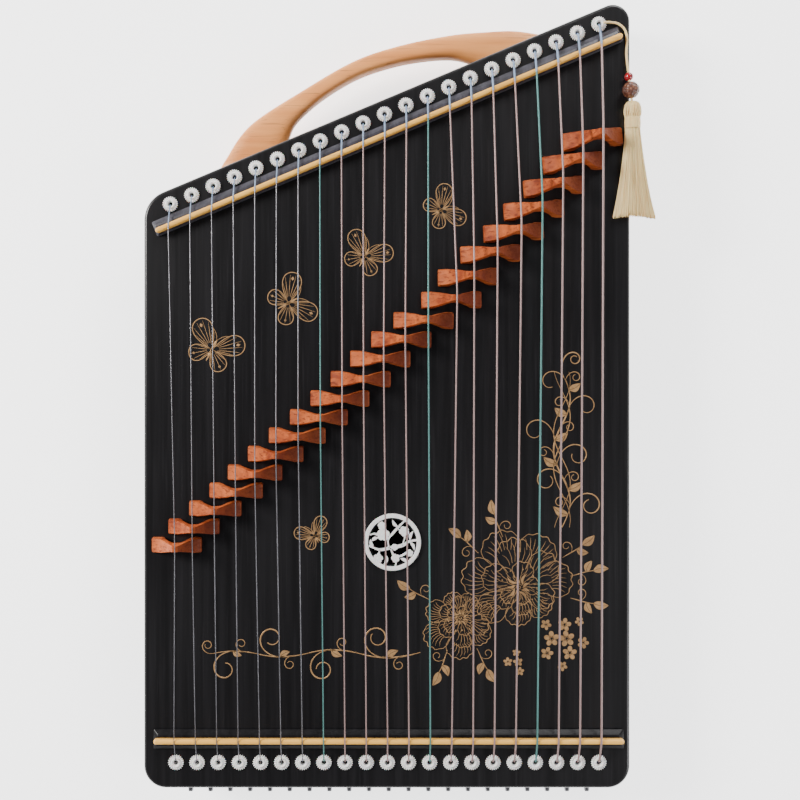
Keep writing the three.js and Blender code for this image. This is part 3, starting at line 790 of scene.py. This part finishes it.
def make_soundboard():
    bottom = heights("soundboard")[0]
    levels = [(-SKIN_THICKNESS, bottom)]
    levels += quarter_round(BOARD_ROUNDING, BOARD_TOP - BOARD_ROUNDING, True)
    board = solid("board_lacquered", slab(levels), LACQUER, slot="lacquer", replaces=["soundboard"])
    holes = [(*hole(index), STRING_BORE, 16) for index in range(STRINGS) for hole in (head_hole, tail_hole)]
    holes.append((ROSETTE_X, ROSETTE_Y, SOUND_HOLE_RADIUS, 64))
    drill(board, [rod(at(x, y, bottom - 1), at(x, y, BOARD_TOP + 1), radius * MM, sides)
                  for x, y, radius, sides in holes])
    modify(board, "WEIGHTED_NORMAL", keep_sharp=True, weight=80)
    shade(board.data, 35)


def make_skin():
    """The lacquer coat over the joints of the side walls, with a hole for each tuning pin."""
    low = BACK_TOP + 0.1
    high = heights("soundboard")[0] - 0.05
    outer = case_outline(-SKIN_THICKNESS)
    inner = case_outline(-SKIN_INNER_FACE)
    rings = [raised(*level) for level in ((outer, low), (outer, high), (inner, high), (inner, low))]
    skin = solid("wall_lacquer", loft(rings, closed=True), DULL_LACQUER, slot="lacquer")
    height = sum(heights("tuning_pin_01")) / 2
    pins = [along_row(PIN_ROW, index) for index in range(STRINGS)]
    drill(skin, [rod(at(x, -2, height), at(x, 2, height), PIN_BORE * MM, 24) for x in pins])
    shade(skin.data, 35)


def make_back():
    levels = quarter_round(BACK_ROUNDING, BACK_ROUNDING, False) + [(-SKIN_THICKNESS, BACK_TOP)]
    solid("back_lacquered", slab(levels), DULL_LACQUER, 35, slot="lacquer", replaces=["back_board"])


make_soundboard()
make_skin()
make_back()


# ---- nuts ----
NUT_BASE_REACH = {"front": (7, 7), "rear": (3.2, 8.1)}  # headwards and tailwards from the strip's middle
NUT_BASE_BEVEL = 3.5
NUT_BASE_SEAT = 2.7


def bar_along(centre, direction, half_length, profile, round_end):
    """A bar lying on the board: profile is (half width, height, sideways shift) from bottom to top."""
    along = unit(direction)
    across = left_of(along)
    widest = max(row[0] for row in profile)
    rings = []
    for half_width, height, shift in profile:
        end_radius = half_width if round_end else min(half_width, 1.2)
        straight = half_width - end_radius
        outline = []
        for end in (1, -1):
            for step in range(13):
                angle = math.pi * (step / 12 - 0.5)
                reach = half_length - widest + straight + end_radius * math.cos(angle)
                side = straight * math.copysign(1, angle) if angle else 0
                corner = along * reach + across * (side + end_radius * math.sin(angle))
                outline.append(centre + end * corner + across * shift)
        rings.append(raised(outline, height))
    return loft(rings)


def make_nut(prefix, direction):
    """A bevelled lacquered rail, with a rounded bamboo strip on top of it."""
    base_low, base_high = heights(f"{prefix}_nut_base")
    strip_low, strip_high = heights(f"{prefix}_nut_strip")
    low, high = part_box(f"{prefix}_nut_strip")
    centre = Vector(middle_of(f"{prefix}_nut_strip"))
    half_length = (high[0] - low[0]) / 2 / MM / math.cos(direction)
    headward, tailward = NUT_BASE_REACH[prefix]
    base_profile = []
    for inset, height in ((0.4, base_low - 0.3), (0, base_low), (0, base_low + 0.9), (0.3, base_low + 1.2),
                          (NUT_BASE_BEVEL - 0.4, base_high - 0.25), (NUT_BASE_BEVEL, base_high)):
        head_reach = max(headward - inset, NUT_BASE_SEAT)
        tail_reach = max(tailward - inset, NUT_BASE_SEAT)
        base_profile.append(((head_reach + tail_reach) / 2, height, (tail_reach - head_reach) / 2))
    strip_profile = [(1.75, strip_low - 0.3, 0), (1.9, strip_low, 0)]
    for step in range(7):
        angle = math.pi / 2 * step / 6
        strip_profile.append((0.4 + 1.5 * math.cos(angle), strip_high - 1.8 + 1.8 * math.sin(angle), 0))
    # the rear nut base takes the lacquer greyed with a painted reflection, and the front one dull lacquer
    base_look = NUT_LACQUER_PAINTED_REFLECTION if prefix == "rear" else DULL_LACQUER
    for kind, profile, grow, look, slot in (("base", base_profile, 1, base_look, "lacquer"),
                                            ("strip", strip_profile, 0, BAMBOO, "bamboo")):
        bar = bar_along(centre, direction, half_length + grow, profile, kind == "strip")
        solid(f"{prefix}_nut_{kind}_shaped", bar, look, 30, slot=slot, replaces=[f"{prefix}_nut_{kind}"])


make_nut("front", 0)
make_nut("rear", SLANT)


# ---- grommets ----
GROMMET_TEETH = 22
GROMMET_RIM = 2.3  # height above the board at which the string bends over the ring
GROMMET_HOLE = 1.75
GROMMET_PROFILE = (  # radius, height above the board, and how far the teeth reach
    (5.1, 0.0, 0.6), (5.35, 0.4, 1.3), (5.15, 1.2, 1.3), (4.7, 1.55, 1.0), (4.1, 1.5, 0.35),
    (3.75, 1.05, 0), (3.45, 1.2, 0), (3.2, 2.3, 0), (2.75, 2.55, 0), (2.35, 2.4, 0), (2.0, 1.9, 0),
    (GROMMET_HOLE, 1.2, 0), (GROMMET_HOLE, -5.0, 0), (1.88, -5.0, 0), (1.88, -0.1, 0), (3.2, -0.1, 0),
)


def grommet(x, y, turn):
    """A white eyelet: a serrated flange, a raised ring and a countersunk hole."""
    sides = 4 * GROMMET_TEETH
    rings = []
    for radius, height, tooth in GROMMET_PROFILE:
        ring = []
        for side in range(sides):
            crest = math.cos(2 * math.pi * side / 4)
            reach = radius + tooth * 0.34 * crest
            level = BOARD_TOP + height - (0.3 * tooth * (1 - crest) if height > 1 else 0)
            ring.append(at(*polar((x, y), reach, 2 * math.pi * side / sides + turn), level))
        rings.append(ring)
    return loft(rings, closed=True)


for place, hole in (("head", head_hole), ("tail", tail_hole)):
    for index in range(STRINGS):
        solid(numbered(f"grommet_{place}", index), grommet(*hole(index), RANDOM.random()), WHITE_PLASTIC, 50,
              slot="white_plastic")


# ---- strings ----
TEAL_STRINGS = (8, 13, 18)
STEEL_STRINGS = (1, 2, 3, 4, 5, 6, 7)
STRING_END_HEIGHT = 28.2  # each string ends just over its pin


def bridge_place(index):
    """Centre, turn and size of a bridge, as it stands at rest."""
    x, y = middle_of(numbered("bridge", index))
    low, high = heights(numbered("bridge", index))
    return {
        "x": x,
        "y": y,
        "turn": math.radians(max(0, 0.8 * (index - 12))),
        "width": min(43, 35.4 + 0.85 * index),
        "height": high - low,
        "thickness": 10.9 + 0.1 * index,
    }


def eased(points, reach=1.2, steps=4):
    """A polyline with its corners rounded off."""
    smooth = [points[0]]
    for before, corner, after in zip(points, points[1:], points[2:]):
        start = corner + (before - corner).normalized() * min(reach * MM, (before - corner).length / 2)
        end = corner + (after - corner).normalized() * min(reach * MM, (after - corner).length / 2)
        for step in range(steps + 1):
            t = step / steps
            smooth.append(start * (1 - t) ** 2 + corner * 2 * t * (1 - t) + end * t ** 2)
    smooth.append(points[-1])
    return smooth


def string_route(index):
    radius = string_radius(index)
    head_x, head_y = head_hole(index)
    tail_x, tail_y = tail_hole(index)
    bridge = bridge_place(index)
    ridge_x = bridge["x"] + RIDGE_SHIFT
    ridge_z = heights(numbered("bridge", index))[1] + radius
    nut_z = NUT_TOP + radius
    rim_z = BOARD_TOP + GROMMET_RIM + radius
    tail_nut = at(tail_x, slant_y(tail_x, TAIL_NUT_INSET), nut_z)
    return {
        "tail": [
            at(tail_x, tail_y, 12),
            at(tail_x, tail_y - 0.4, BOARD_TOP),
            at(tail_x, tail_y - 2.2, rim_z),
            tail_nut,
        ],
        "playing": [
            tail_nut,
            at(ridge_x, bridge["y"] + RIDGE_LEVEL, ridge_z),
            at(ridge_x, bridge["y"] - RIDGE_LEVEL, ridge_z),
            at(head_x, HEAD_NUT_INSET, nut_z),
            at(head_x, head_y + 2.2, rim_z),
            at(head_x, head_y + 0.4, BOARD_TOP),
            at(head_x, head_y, BOARD_TOP - 7),
            at(along_row(PIN_ROW, index), head_y, STRING_END_HEIGHT + radius),
        ],
    }


def string_finish(number):
    if number in TEAL_STRINGS:
        return STRING_TEAL
    return STRING_STEEL if number in STEEL_STRINGS else STRING_ROSE


for index in range(STRINGS):
    route = string_route(index)
    whole = eased(route["tail"][:-1] + route["playing"])
    wire(numbered("string", index), [whole], string_radius(index), string_finish(index + 1),
         slot="string_steel", replaces=["strings"])
    wrapped = eased(route["tail"][1:] + [route["tail"][-1].lerp(route["playing"][1], 0.012)])
    wire(numbered("string_wrap", index), [wrapped], string_radius(index) + 0.1, TAIL_WRAP,
         slot="string_steel")


# ---- bridges ----
FOOT_WIDTH = 9
TOE_HEIGHT = 3.4
WAIST = 2.7
RIDGE_CROWN = 0.25


def bridge_section(place, x):
    """Bottom, top, and half thickness at the foot and ridge of a bridge, across its width."""
    half = place["width"] / 2
    height = place["height"]
    thickness = place["thickness"] / 2
    from_ridge = x - RIDGE_SHIFT * max(0, 1 - abs(x) / half)
    t = min(1, abs(from_ridge) / half)
    ridge = 2.1 / half
    if t < ridge:
        top = height - RIDGE_CROWN * (t / ridge) ** 2
    else:
        s = (t - ridge) / (1 - ridge)
        top = TOE_HEIGHT + (height - RIDGE_CROWN - TOE_HEIGHT) * (1 - s) ** 1.35 * (1 - 0.12 * s)
    inner = half - FOOT_WIDTH
    bottom = 0
    if abs(x) < inner:
        bottom = 0.46 * height * (1 - (abs(x) / inner) ** 2.6) ** 0.75
    reach = max(0, (abs(from_ridge) - 3.2) / (half - FOOT_WIDTH * 0.7 - 3.2))
    plan = WAIST + (thickness - WAIST) * min(1, reach) ** 0.85
    return bottom, top, plan, plan * (0.9 - 0.12 * (1 - t))


def make_bridge(index):
    node = numbered("bridge", index)
    place = bridge_place(index)
    half = place["width"] / 2
    base = heights(node)[0] - 0.25
    cosine, sine = math.cos(place["turn"]), math.sin(place["turn"])
    stations = 44
    chamfer = 0.35
    rings = []
    for station in range(stations + 1):
        x = -half + 2 * half * (0.5 - 0.5 * math.cos(math.pi * station / stations))
        bottom, top, low_half, high_half = bridge_section(place, x)
        end = min(1, 0.86 + 0.14 * math.sqrt(min(1, (half - abs(x)) / 0.6)))
        low, high = low_half * end, high_half * end
        waist = bottom + (top - bottom) * 0.45
        corners = ((-low, bottom), (-low, waist), (-high, top - chamfer), (-high + chamfer, top),
                   (high - chamfer, top), (high, top - chamfer), (low, waist), (low, bottom))
        rings.append([at(place["x"] + x * cosine - y * sine, place["y"] + x * sine + y * cosine, base + z)
                      for y, z in corners])
    solid(f"{node}_carved", loft(rings), ROSEWOOD, 28, body=node, slot="rosewood", replaces=[node])


for index in range(STRINGS):
    make_bridge(index)


# ---- tuning pins ----
PIN_RADIUS = 2.5
THREAD_ROOT = 2.36
THREAD_PITCH = 1.2
PIN_HEAD_SHAPE = (  # distance from the tip, and half the width of the square
    (0.0, 1.45), (0.25, 1.7), (1.2, 1.85), (8.1, 2.25), (9.3, 1.9), (9.8, 1.2),
)


def make_pin(index):
    """A threaded shank with a square head, which sticks out past the head end."""
    node = numbered("tuning_pin", index)
    low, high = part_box(node)
    length = (high[1] - low[1]) / MM
    centre = Vector(((low[0] + high[0]) / 2, low[1], (low[2] + high[2]) / 2))
    profile = [(0.5, 9), (2.3, 9.1), (PIN_RADIUS, 9.7)]
    distance = 10.1
    while distance < length - 2:
        profile += [(PIN_RADIUS, distance), (PIN_RADIUS, distance + 0.35),
                    (THREAD_ROOT, distance + 0.5), (THREAD_ROOT, distance + 0.65)]
        distance += THREAD_PITCH if distance > 35.5 else 9.4
    profile += [(2.4, length - 0.6), (1.9, length), (0.5, length)]
    rings = []
    for distance, half in PIN_HEAD_SHAPE:
        ring = []
        for side in range(16):
            angle = 2 * math.pi * (side + 0.5) / 16
            reach = half / max(abs(math.cos(angle)), abs(math.sin(angle))) ** 0.82
            ring.append(centre + Vector((reach * math.cos(angle), distance, reach * math.sin(angle))) * MM)
        rings.append(ring)
    skin = merged([turned(profile, centre, 20), loft(rings)])
    body = numbered("pin", index)
    solid(f"{body}_threaded", skin, PIN_STEEL, 35, body=body, slot="pin_steel", replaces=[node])


for index in range(STRINGS):
    make_pin(index)


# ---- handle: its two curves along the slanted edge, with as many points each ----
HANDLE_SQUARENESS = 0.62  # 1 makes the section an ellipse, and 0 a rectangle
HANDLE_GAP = 0.3
HANDLE_OUTER = (
    (-136, 0), (-126, 8.5), (-99, 25), (-54, 33.5), (-10, 39),
    (26, 36.5), (64, 29), (90, 20.8), (110, 13.2), (132, 0),
)
HANDLE_INNER = (
    (-80, 0), (-75, 6.5), (-65, 14.6), (-42, 22.7), (-13, 27.1),
    (14, 25.6), (38, 20.6), (57, 14), (68, 6.7), (76, 0),
)


def make_handle():
    """A bent beech arch: an oval section carried between its outer and inner curves."""
    low, high = heights("handle")
    middle = (low + high) / 2
    half_height = (high - low) / 2
    rings = []
    for far, near in zip(catmull(HANDLE_OUTER, 10), catmull(HANDLE_INNER, 10)):
        centre = (far + near) / 2
        reach = (far - near) / 2
        ring = []
        for side in range(32):
            angle = 2 * math.pi * side / 32
            across, up = (math.copysign(abs(part) ** HANDLE_SQUARENESS, part) for part in unit(angle))
            spot = centre + reach * across
            x, y = from_slant(spot.x, max(HANDLE_GAP, spot.y + HANDLE_GAP))
            ring.append(at(x, y, middle + half_height * up))
        rings.append(ring)
    solid("handle_bent", loft(rings), BEECH, 50, slot="beech", replaces=["handle"])


make_handle()


# ---- flat shapes: what is inlaid in the board or pierced in the rosette ----
def prism(outline, bottom, top, chamfer=0.0):
    """A flat plate from an outline of X and Y, its upper edge chamfered inwards."""
    rings = [raised(outline, bottom), raised(outline, top - chamfer)]
    if chamfer:
        centre = sum((Vector(point) for point in outline), Vector((0, 0))) / len(outline)
        inset = []
        for point in outline:
            spoke = Vector(point) - centre
            inset.append(centre + spoke * (1 - chamfer / max(spoke.length, 2 * chamfer)))
        rings.append(raised(inset, top))
    return loft(rings)


def stroke(points, width, bottom, top, start=0.25, end=0.25):
    """A flat ribbon along a line, widest in the middle and tapering to its two ends."""
    line = [Vector(point) for point in points]
    rings = []
    for index, point in enumerate(line):
        ahead = line[min(index + 1, len(line) - 1)]
        behind = line[max(index - 1, 0)]
        side = left_of((ahead - behind).normalized())
        t = index / (len(line) - 1)
        swell = math.sin(math.pi * t) ** 0.6 if 0 < t < 1 else 0
        half = width / 2 * max(start * (1 - t) + end * t, swell)
        rings.append([at(*(point + side * half * share), height)
                      for share, height in ((1, bottom), (0.7, top), (-0.7, top), (-1, bottom))])
    return loft(rings)


def spiral(centre, radius, start_angle, turns, tightness, steps=26):
    """Points of a curl from its outside to its eye; positive turns run anticlockwise."""
    points = []
    for step in range(steps + 1):
        t = step / steps
        angle = start_angle + 2 * math.pi * turns * t
        points.append(polar(centre, radius * (1 - (1 - tightness) * t), angle))
    return points


def tendril(start, heading, length, first_bend, last_bend, steps=44):
    """Points of a stem whose bend, in degrees a millimetre, changes evenly from one end to the other."""
    angle = math.radians(heading)
    points = [Vector(start)]
    stride = length / steps
    for step in range(steps):
        t = (step + 0.5) / steps
        angle += math.radians(first_bend * (1 - t) + last_bend * t) * stride
        points.append(points[-1] + unit(angle) * stride)
    return points


# ---- rosette ----
def blossom_outline(centre, radius, turn):
    outline = []
    for step in range(40):
        angle = 2 * math.pi * step / 40
        lobe = abs(math.cos(5 * angle / 2)) ** 0.6
        outline.append(polar(centre, radius * (0.78 + 0.22 * lobe), angle + turn))
    return outline


def make_rosette():
    """A white disc pierced around a flowering branch."""
    centre = (ROSETTE_X, ROSETTE_Y)
    bottom, top = heights("rosette")
    bottom -= 0.25
    radius = (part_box("rosette")[1][0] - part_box("rosette")[0][0]) / 2 / MM
    rim = [raised(disc(centre, reach, 96), height) for reach, height in (
        (radius, bottom), (radius, top - 0.5), (radius - 0.5, top), (radius - 2.6, top),
        (radius - 3.0, top - 0.4), (radius - 3.0, bottom),
    )]
    parts = [loft(rim, closed=True)]
    edge = radius - 2.4
    branches = (
        (2.6, ((-edge * 0.93, -2.5), (-9, -5.5), (-1, -4), (7, -2.5), (12, 0.5), (edge * 0.99, 1.5))),
        (1.9, ((-2.5, -4.2), (-3, 2), (1, 7), (6, 12.5), (9, edge * 0.86))),
        (1.3, ((7, -2.5), (9, 4), (7, 8), (3.5, 9.5))),
        (1.9, ((-1.5, -4), (0.5, -9), (2.5, -13), (2.2, -edge * 0.99))),
        (1.6, ((0.8, -9.5), (6, -10), (11, -7.5), (14.5, -9))),
        (1.5, ((-9, -5.2), (-10, -9), (-12, -12))),
        (1.6, ((-3, 1.5), (-8, 4), (-13, 6), (-16.3, 5.2))),
        (1.4, ((-6, 3.2), (-7.5, 9), (-9.5, 14.2))),
    )
    for width, points in branches:
        line = catmull([Vector((centre[0] + x, centre[1] + y)) for x, y in points], 8)
        parts.append(stroke(line, width, bottom, top - 0.35, 0.6, 0.6))
    for x, y, size, turn in ((-6.5, 5.5, 4.6, 0.2), (8.5, 7.8, 3.7, 0.8), (-7.5, 11.8, 3.1, 0.4),
                             (-10.2, -11.6, 3.5, 0.1), (2.2, -11.5, 3.1, 0.6), (12.4, -7.8, 2.6, 0.3),
                             (1.6, -3.6, 2.4, 0.9)):
        spot = (centre[0] + x, centre[1] + y)
        parts.append(prism(blossom_outline(spot, size, turn), bottom, top - 0.15, 0.35))
        parts.append(prism(disc(spot, size * 0.26, 14), bottom, top, 0.2))
    for x, y, angle, length in ((13.2, 3.2, 1.2, 5.2), (13.5, -1.5, -1.1, 5.0), (-14.2, -2.0, 1.9, 4.6),
                                (2.8, 12.4, 2.2, 4.8), (-13.6, 1.6, 0.4, 4.2), (7.2, -12.6, -0.6, 4.6),
                                (-4.6, -11.5, -1.9, 5.4)):
        root = (centre[0] + x, centre[1] + y)
        outline = leaf_outline(polar(root, -length * 0.35, angle), polar(root, length, angle), 2.3)
        parts.append(prism(outline, bottom, top - 0.25, 0.3))
    solid("rosette_pierced", merged(parts), WHITE_PLASTIC, 40, slot="white_plastic", replaces=["rosette"])


def leaf_outline(start, tip, width, bend=0.12, steps=12):
    """A pointed leaf from its stalk to its tip."""
    along = Vector(tip) - Vector(start)
    side = left_of(along).normalized()
    outline = []
    for edge_side in (1, -1):
        for step in range(steps):
            t = step / steps if edge_side == 1 else 1 - step / steps
            swell = math.sin(math.pi * t ** 0.8) * width / 2
            sway = bend * along.length * math.sin(math.pi * t)
            outline.append(Vector(start) + along * t + side * (edge_side * swell + sway))
    return outline


make_rosette()


# ---- gold line work on the board: plain garden motifs, laid out by formula ----
INK_BOTTOM = BOARD_TOP - 0.05
INK_TOP = BOARD_TOP + 0.06
GOLDEN_ANGLE = math.pi * (3 - math.sqrt(5))


class Drawing:
    """Gold strokes and filled shapes that make one motif."""

    def __init__(self, name):
        self.name = name
        self.parts = []

    def line(self, points, width=0.6, start=0.35, end=0.35):
        self.parts.append(stroke(points, width, INK_BOTTOM, INK_TOP, start, end))

    def stem(self, start, heading, length, first_bend, last_bend, width):
        """A tendril, which also hands back its points for whatever grows on from it."""
        points = tendril(start, heading, length, first_bend, last_bend)
        self.line(points, width, 0.5, 0.7)
        return points

    def fill(self, outline):
        self.parts.append(prism(outline, INK_BOTTOM, INK_TOP))

    def leaf(self, start, heading, length, width, bend):
        """Two half blades either side of an open midrib."""
        start = Vector(start)
        along = polar(start, length, math.radians(heading)) - start
        side = left_of(along).normalized()
        steps = 12
        for edge_side in (1, -1):
            outer = []
            rib = []
            for step in range(steps + 1):
                t = step / steps
                spine = start + along * t + side * bend * length * math.sin(math.pi * t)
                swell = math.sin(math.pi * t ** 0.8) * width / 2
                outer.append(spine + side * edge_side * (swell + 0.16))
                rib.append(spine + side * edge_side * 0.14)
            self.fill(outer + rib[::-1])

    def finish(self):
        add_piece(self.name, mesh_from(self.name, *merged(self.parts)), GOLD_LINE)


def wing(drawing, root, angle, length, width, veins):
    """One outlined wing: a rounded teardrop with veins fanning out from its root, and a spot."""
    root = Vector(root)
    axis = unit(angle)
    side = left_of(axis)

    def inside(t, reach):
        theta = 2 * math.pi * t
        along = (1 - math.cos(theta)) / 2
        bulge = side * width / 2 * math.sin(theta) * 1.3 * along ** 0.55
        return root + reach * (axis * length * along + bulge)

    drawing.line([inside(step / 36, 1) for step in range(37)], 0.75, 0.8, 0.8)
    for vein in range(veins):
        t = 0.3 + 0.4 * vein / (veins - 1)
        drawing.line([inside(t, reach) for reach in (0.22, 0.5, 0.92)], 0.5, 0.6, 0.4)
    spot = inside(0.5, 0.8)
    reach = 0.11 * width
    drawing.fill([spot + way * reach for way in (axis, side * 0.7, -axis, side * -0.7)])


def butterfly(name, centre, heading, size):
    """Seen from above and the same on both sides: two fore wings, two hind wings, a body and two feelers."""
    drawing = Drawing(name)
    ahead = math.radians(heading)
    brow = polar(centre, 0.3 * size, ahead)
    for hand in (1, -1):
        wing(drawing, centre, ahead + hand * math.radians(52), size, 0.62 * size, 6)
        wing(drawing, centre, ahead + hand * math.radians(128), 0.7 * size, 0.5 * size, 5)
        feeler = tendril(brow, heading + 22 * hand, 0.4 * size, 2.5 * hand, 7 * hand, 12)
        drawing.line(feeler, 0.45, 0.8, 0.8)
    body = [polar(centre, reach * size, ahead) for reach in (-0.38, -0.1, 0.15, 0.32)]
    drawing.line(body, 0.09 * size, 0.3, 0.5)
    drawing.finish()


FLIGHT_START = Vector((-126, 316))
FLIGHT_STEP = Vector((55, 33.5))
for number in range(4):
    butterfly(f"butterfly_{number + 1:02d}", FLIGHT_START + FLIGHT_STEP * number, 62 - 34 * (number % 2),
              24 - 1.6 * number)
butterfly("butterfly_05", (-52, 182), 118, 15)


def scroll_vine():
    """A running scroll: each stem leaves the one before where that one starts its curl, on the other side."""
    drawing = Drawing("scroll_vine")
    joint = Vector((24, 98))
    heading = 197
    for turn in range(4):
        hand = 1 if turn % 2 else -1
        length = 42 - 3 * turn
        stem = drawing.stem(joint, heading, length, 0.55 * hand, 1.0 * hand, 1.3 - 0.12 * turn)
        fork = 26
        fork_heading = heading + hand * 0.62 * fork
        drawing.stem(stem[fork], fork_heading, 66 - 6 * turn, 2.2 * hand, 12.5 * hand, 1.1)
        drawing.stem(stem[fork // 2], fork_heading, 26, -4 * hand, -28 * hand, 0.7)
        drawing.leaf(stem[fork], fork_heading + 150 * hand, 10 - turn, 4.8 - 0.4 * turn, -0.1 * hand)
        joint = stem[-1]
        heading += hand * 0.775 * length
    drawing.stem(joint, heading, 30, -4, -28, 0.8)
    drawing.finish()


scroll_vine()


def petal(drawing, centre, angle, spread, near, far, ruffles, veins):
    """One ruffled petal between two radii, with curved veins fanning out of the flower's heart."""
    edge = []
    steps = 6 * ruffles
    for step in range(steps + 1):
        t = step / steps
        arch = math.sin(math.pi * t) ** 0.4
        ripple = 0.05 * math.sin(2 * math.pi * ruffles * t + angle * 3) * arch
        reach = near + (far - near) * arch * (1 + ripple)
        edge.append(polar(centre, reach, angle + spread * (t - 0.5) * (1 + 0.15 * arch)))
    drawing.line(edge, 0.62, 0.7, 0.7)
    sway = 0.12 * math.sin(3 * angle)
    for vein in range(veins):
        s = (vein + 0.5) / veins
        side = spread * (s - 0.5) * 0.82
        length = 0.55 + 0.3 * math.sin(math.pi * s) + 0.08 * math.sin(9 * s + 5 * angle)
        line = [polar(centre, near + (far - near) * reach * length,
                      angle + side * (0.75 + 0.3 * reach) + sway * math.sin(2.6 * reach))
                for reach in (0.2, 0.45, 0.75, 1.0)]
        drawing.line(line, 0.44, 0.7, 0.25)


def heart(drawing, centre, radius, petals):
    """The flower's heart: small curled petals, and stamens between them."""
    for index in range(petals):
        angle = 2 * math.pi * index / petals + 0.3
        tip = polar(centre, radius * (0.85 + 0.3 * (index % 2)), angle)
        drawing.fill(leaf_outline(polar(centre, radius * 0.3, angle - 0.5), tip, radius * 0.2, 0.2))
        drawing.line([polar(centre, radius * reach, angle + 0.45 * math.sin(2.4 * reach))
                      for reach in (0.2, 0.5, 0.8, 1.15)], 0.5)
        drawing.fill(disc(polar(centre, radius * 1.3, angle + 0.35), 0.55, 8))
    drawing.line(spiral(centre, radius * 0.24, 0.4, 1.2, 0.3), 0.55, 0.6, 0.9)


def peony(name, centre, base, lift, size):
    """A full bloom of three rings of petals; lift makes the upper petals longer than the lower ones."""
    drawing = Drawing(name)
    rings = ((7, 0.56, 1.0, 6, 8), (6, 0.32, 0.72, 5, 6), (5, 0.16, 0.44, 4, 4))
    for ring, (count, near, far, ruffles, veins) in enumerate(rings):
        for index in range(count):
            angle = 2 * math.pi * (index + 0.45 * ring) / count + 0.2
            reach = base + lift * math.sin(angle)
            wobble = 1 + 0.1 * math.sin(5 * index + 2 * ring)
            petal(drawing, centre, angle, 2 * math.pi / count * 1.04, reach * near, reach * far * wobble,
                  ruffles, veins)
    heart(drawing, centre, size, 9)
    drawing.finish()


PEONY_PLACE = (95, 145)
SMALL_PEONY_PLACE = (53, 123)
peony("peony_large", PEONY_PLACE, 37, 9, 10)
peony("peony_small", SMALL_PEONY_PLACE, 25, -5, 7)


def flower_sprays():
    """Leafy shoots that stand out all round the two blooms, each with a pair of leaves and a curl."""
    drawing = Drawing("flower_sprays")
    shoots = [(PEONY_PLACE, 38, angle) for angle in (-12, 12, 34, 108, 140)]
    shoots += [(SMALL_PEONY_PLACE, 25, angle) for angle in (-112, -62, 150)]
    for number, (centre, reach, angle) in enumerate(shoots):
        hand = 1 if number % 2 else -1
        foot = polar(centre, reach, math.radians(angle))
        stem = drawing.stem(foot, angle, 17, 1.5 * hand, -2.5 * hand, 0.8)
        drawing.leaf(stem[-1], angle - 4 * hand, 11, 5.6, 0.08 * hand)
        drawing.leaf(stem[30], angle + 50 * hand, 9, 4.8, 0.1 * hand)
        drawing.stem(stem[18], angle - 30 * hand, 20, -5 * hand, -32 * hand, 0.6)
    drawing.finish()


flower_sprays()


def climbing_vine():
    """A stem in slow waves with two more twined round it, and a curl and a leaf at every half wave."""
    drawing = Drawing("climbing_vine")
    foot, top, wave = 188, 300, 74

    def on_stem(y, lag=0):
        return 126 + 6 * math.sin(2 * math.pi * (y - foot) / wave + lag), y

    for lag, width in ((0, 1.3), (1.1, 0.8), (-1.1, 0.7)):
        drawing.line([on_stem(foot + (top - foot) * step / 60, lag) for step in range(61)], width, 0.6, 0.4)
    for number in range(6):
        hand = -1 if number % 2 else 1
        y = foot + 9 + 18 * number
        drawing.stem(on_stem(y), 90 - 12 * hand, 60 - 4 * number, -1 * hand, -13 * hand, 1.0 - 0.05 * number)
        drawing.stem(on_stem(y + 7), 90 + 20 * hand, 26, 2 * hand, 30 * hand, 0.7)
        drawing.leaf(on_stem(y), 90 + 60 * hand, 12 - 0.5 * number, 5.4, 0.1 * hand)
    drawing.stem(on_stem(top), 84, 42, 1, -24, 1.0)
    drawing.finish()


climbing_vine()


def blossom(drawing, centre, radius, turn):
    """A small five-petalled flower, each petal filled and the eye left open."""
    for index in range(5):
        angle = 2 * math.pi * index / 5 + turn
        middle = polar(centre, radius * 0.62, angle)
        outline = []
        for side in range(14):
            around = 2 * math.pi * side / 14
            offset = Vector((radius * 0.36 * math.cos(around), radius * 0.31 * math.sin(around)))
            offset.rotate(Matrix.Rotation(angle, 2))
            outline.append(middle + offset)
        drawing.fill(outline)
        drawing.line([polar(centre, radius * reach, angle + 0.63) for reach in (0.25, 0.42, 0.6)], 0.4)
    drawing.line(spiral(centre, radius * 0.2, 0, 1.0, 1.0), 0.4, 0.6, 0.9)


def blossoms():
    """Two clusters that open outwards on a golden-angle spiral, the flowers smaller towards the edge."""
    drawing = Drawing("blossoms")
    for cluster, spacing, count, largest in (((126, 106), 6.6, 9, 6.0), ((92, 90), 4.4, 4, 3.6)):
        for number in range(count):
            angle = number * GOLDEN_ANGLE + 0.5
            place = polar(cluster, spacing * math.sqrt(number + 0.35), angle)
            blossom(drawing, place, largest * (1 - 0.055 * number), angle)
    drawing.finish()


blossoms()


# ---- floor ----
def make_floor():
    mesh = bpy.data.meshes.new("floor")
    reach = 6
    mesh.from_pydata([(-reach, -reach, 0), (reach, -reach, 0), (reach, reach, 0), (-reach, reach, 0)], [],
                     [(0, 1, 2, 3)])
    mesh.materials.append(floor_look())
    floor = bpy.data.objects.new("floor", mesh)
    floor.location.z = -0.0005
    bpy.context.scene.collection.objects.link(floor)


make_floor()

# The walls and the brace are hidden behind the lacquer coat and inside the box, so they only take a finish.
for inner_node, inner_look in (("brace", RAW_WOOD), ("pin_block", LACQUER), ("tail_block", LACQUER),
                               ("side_rail_left", LACQUER), ("side_rail_right", LACQUER)):
    for material_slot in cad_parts[inner_node].material_slots:
        material_slot.material = inner_look
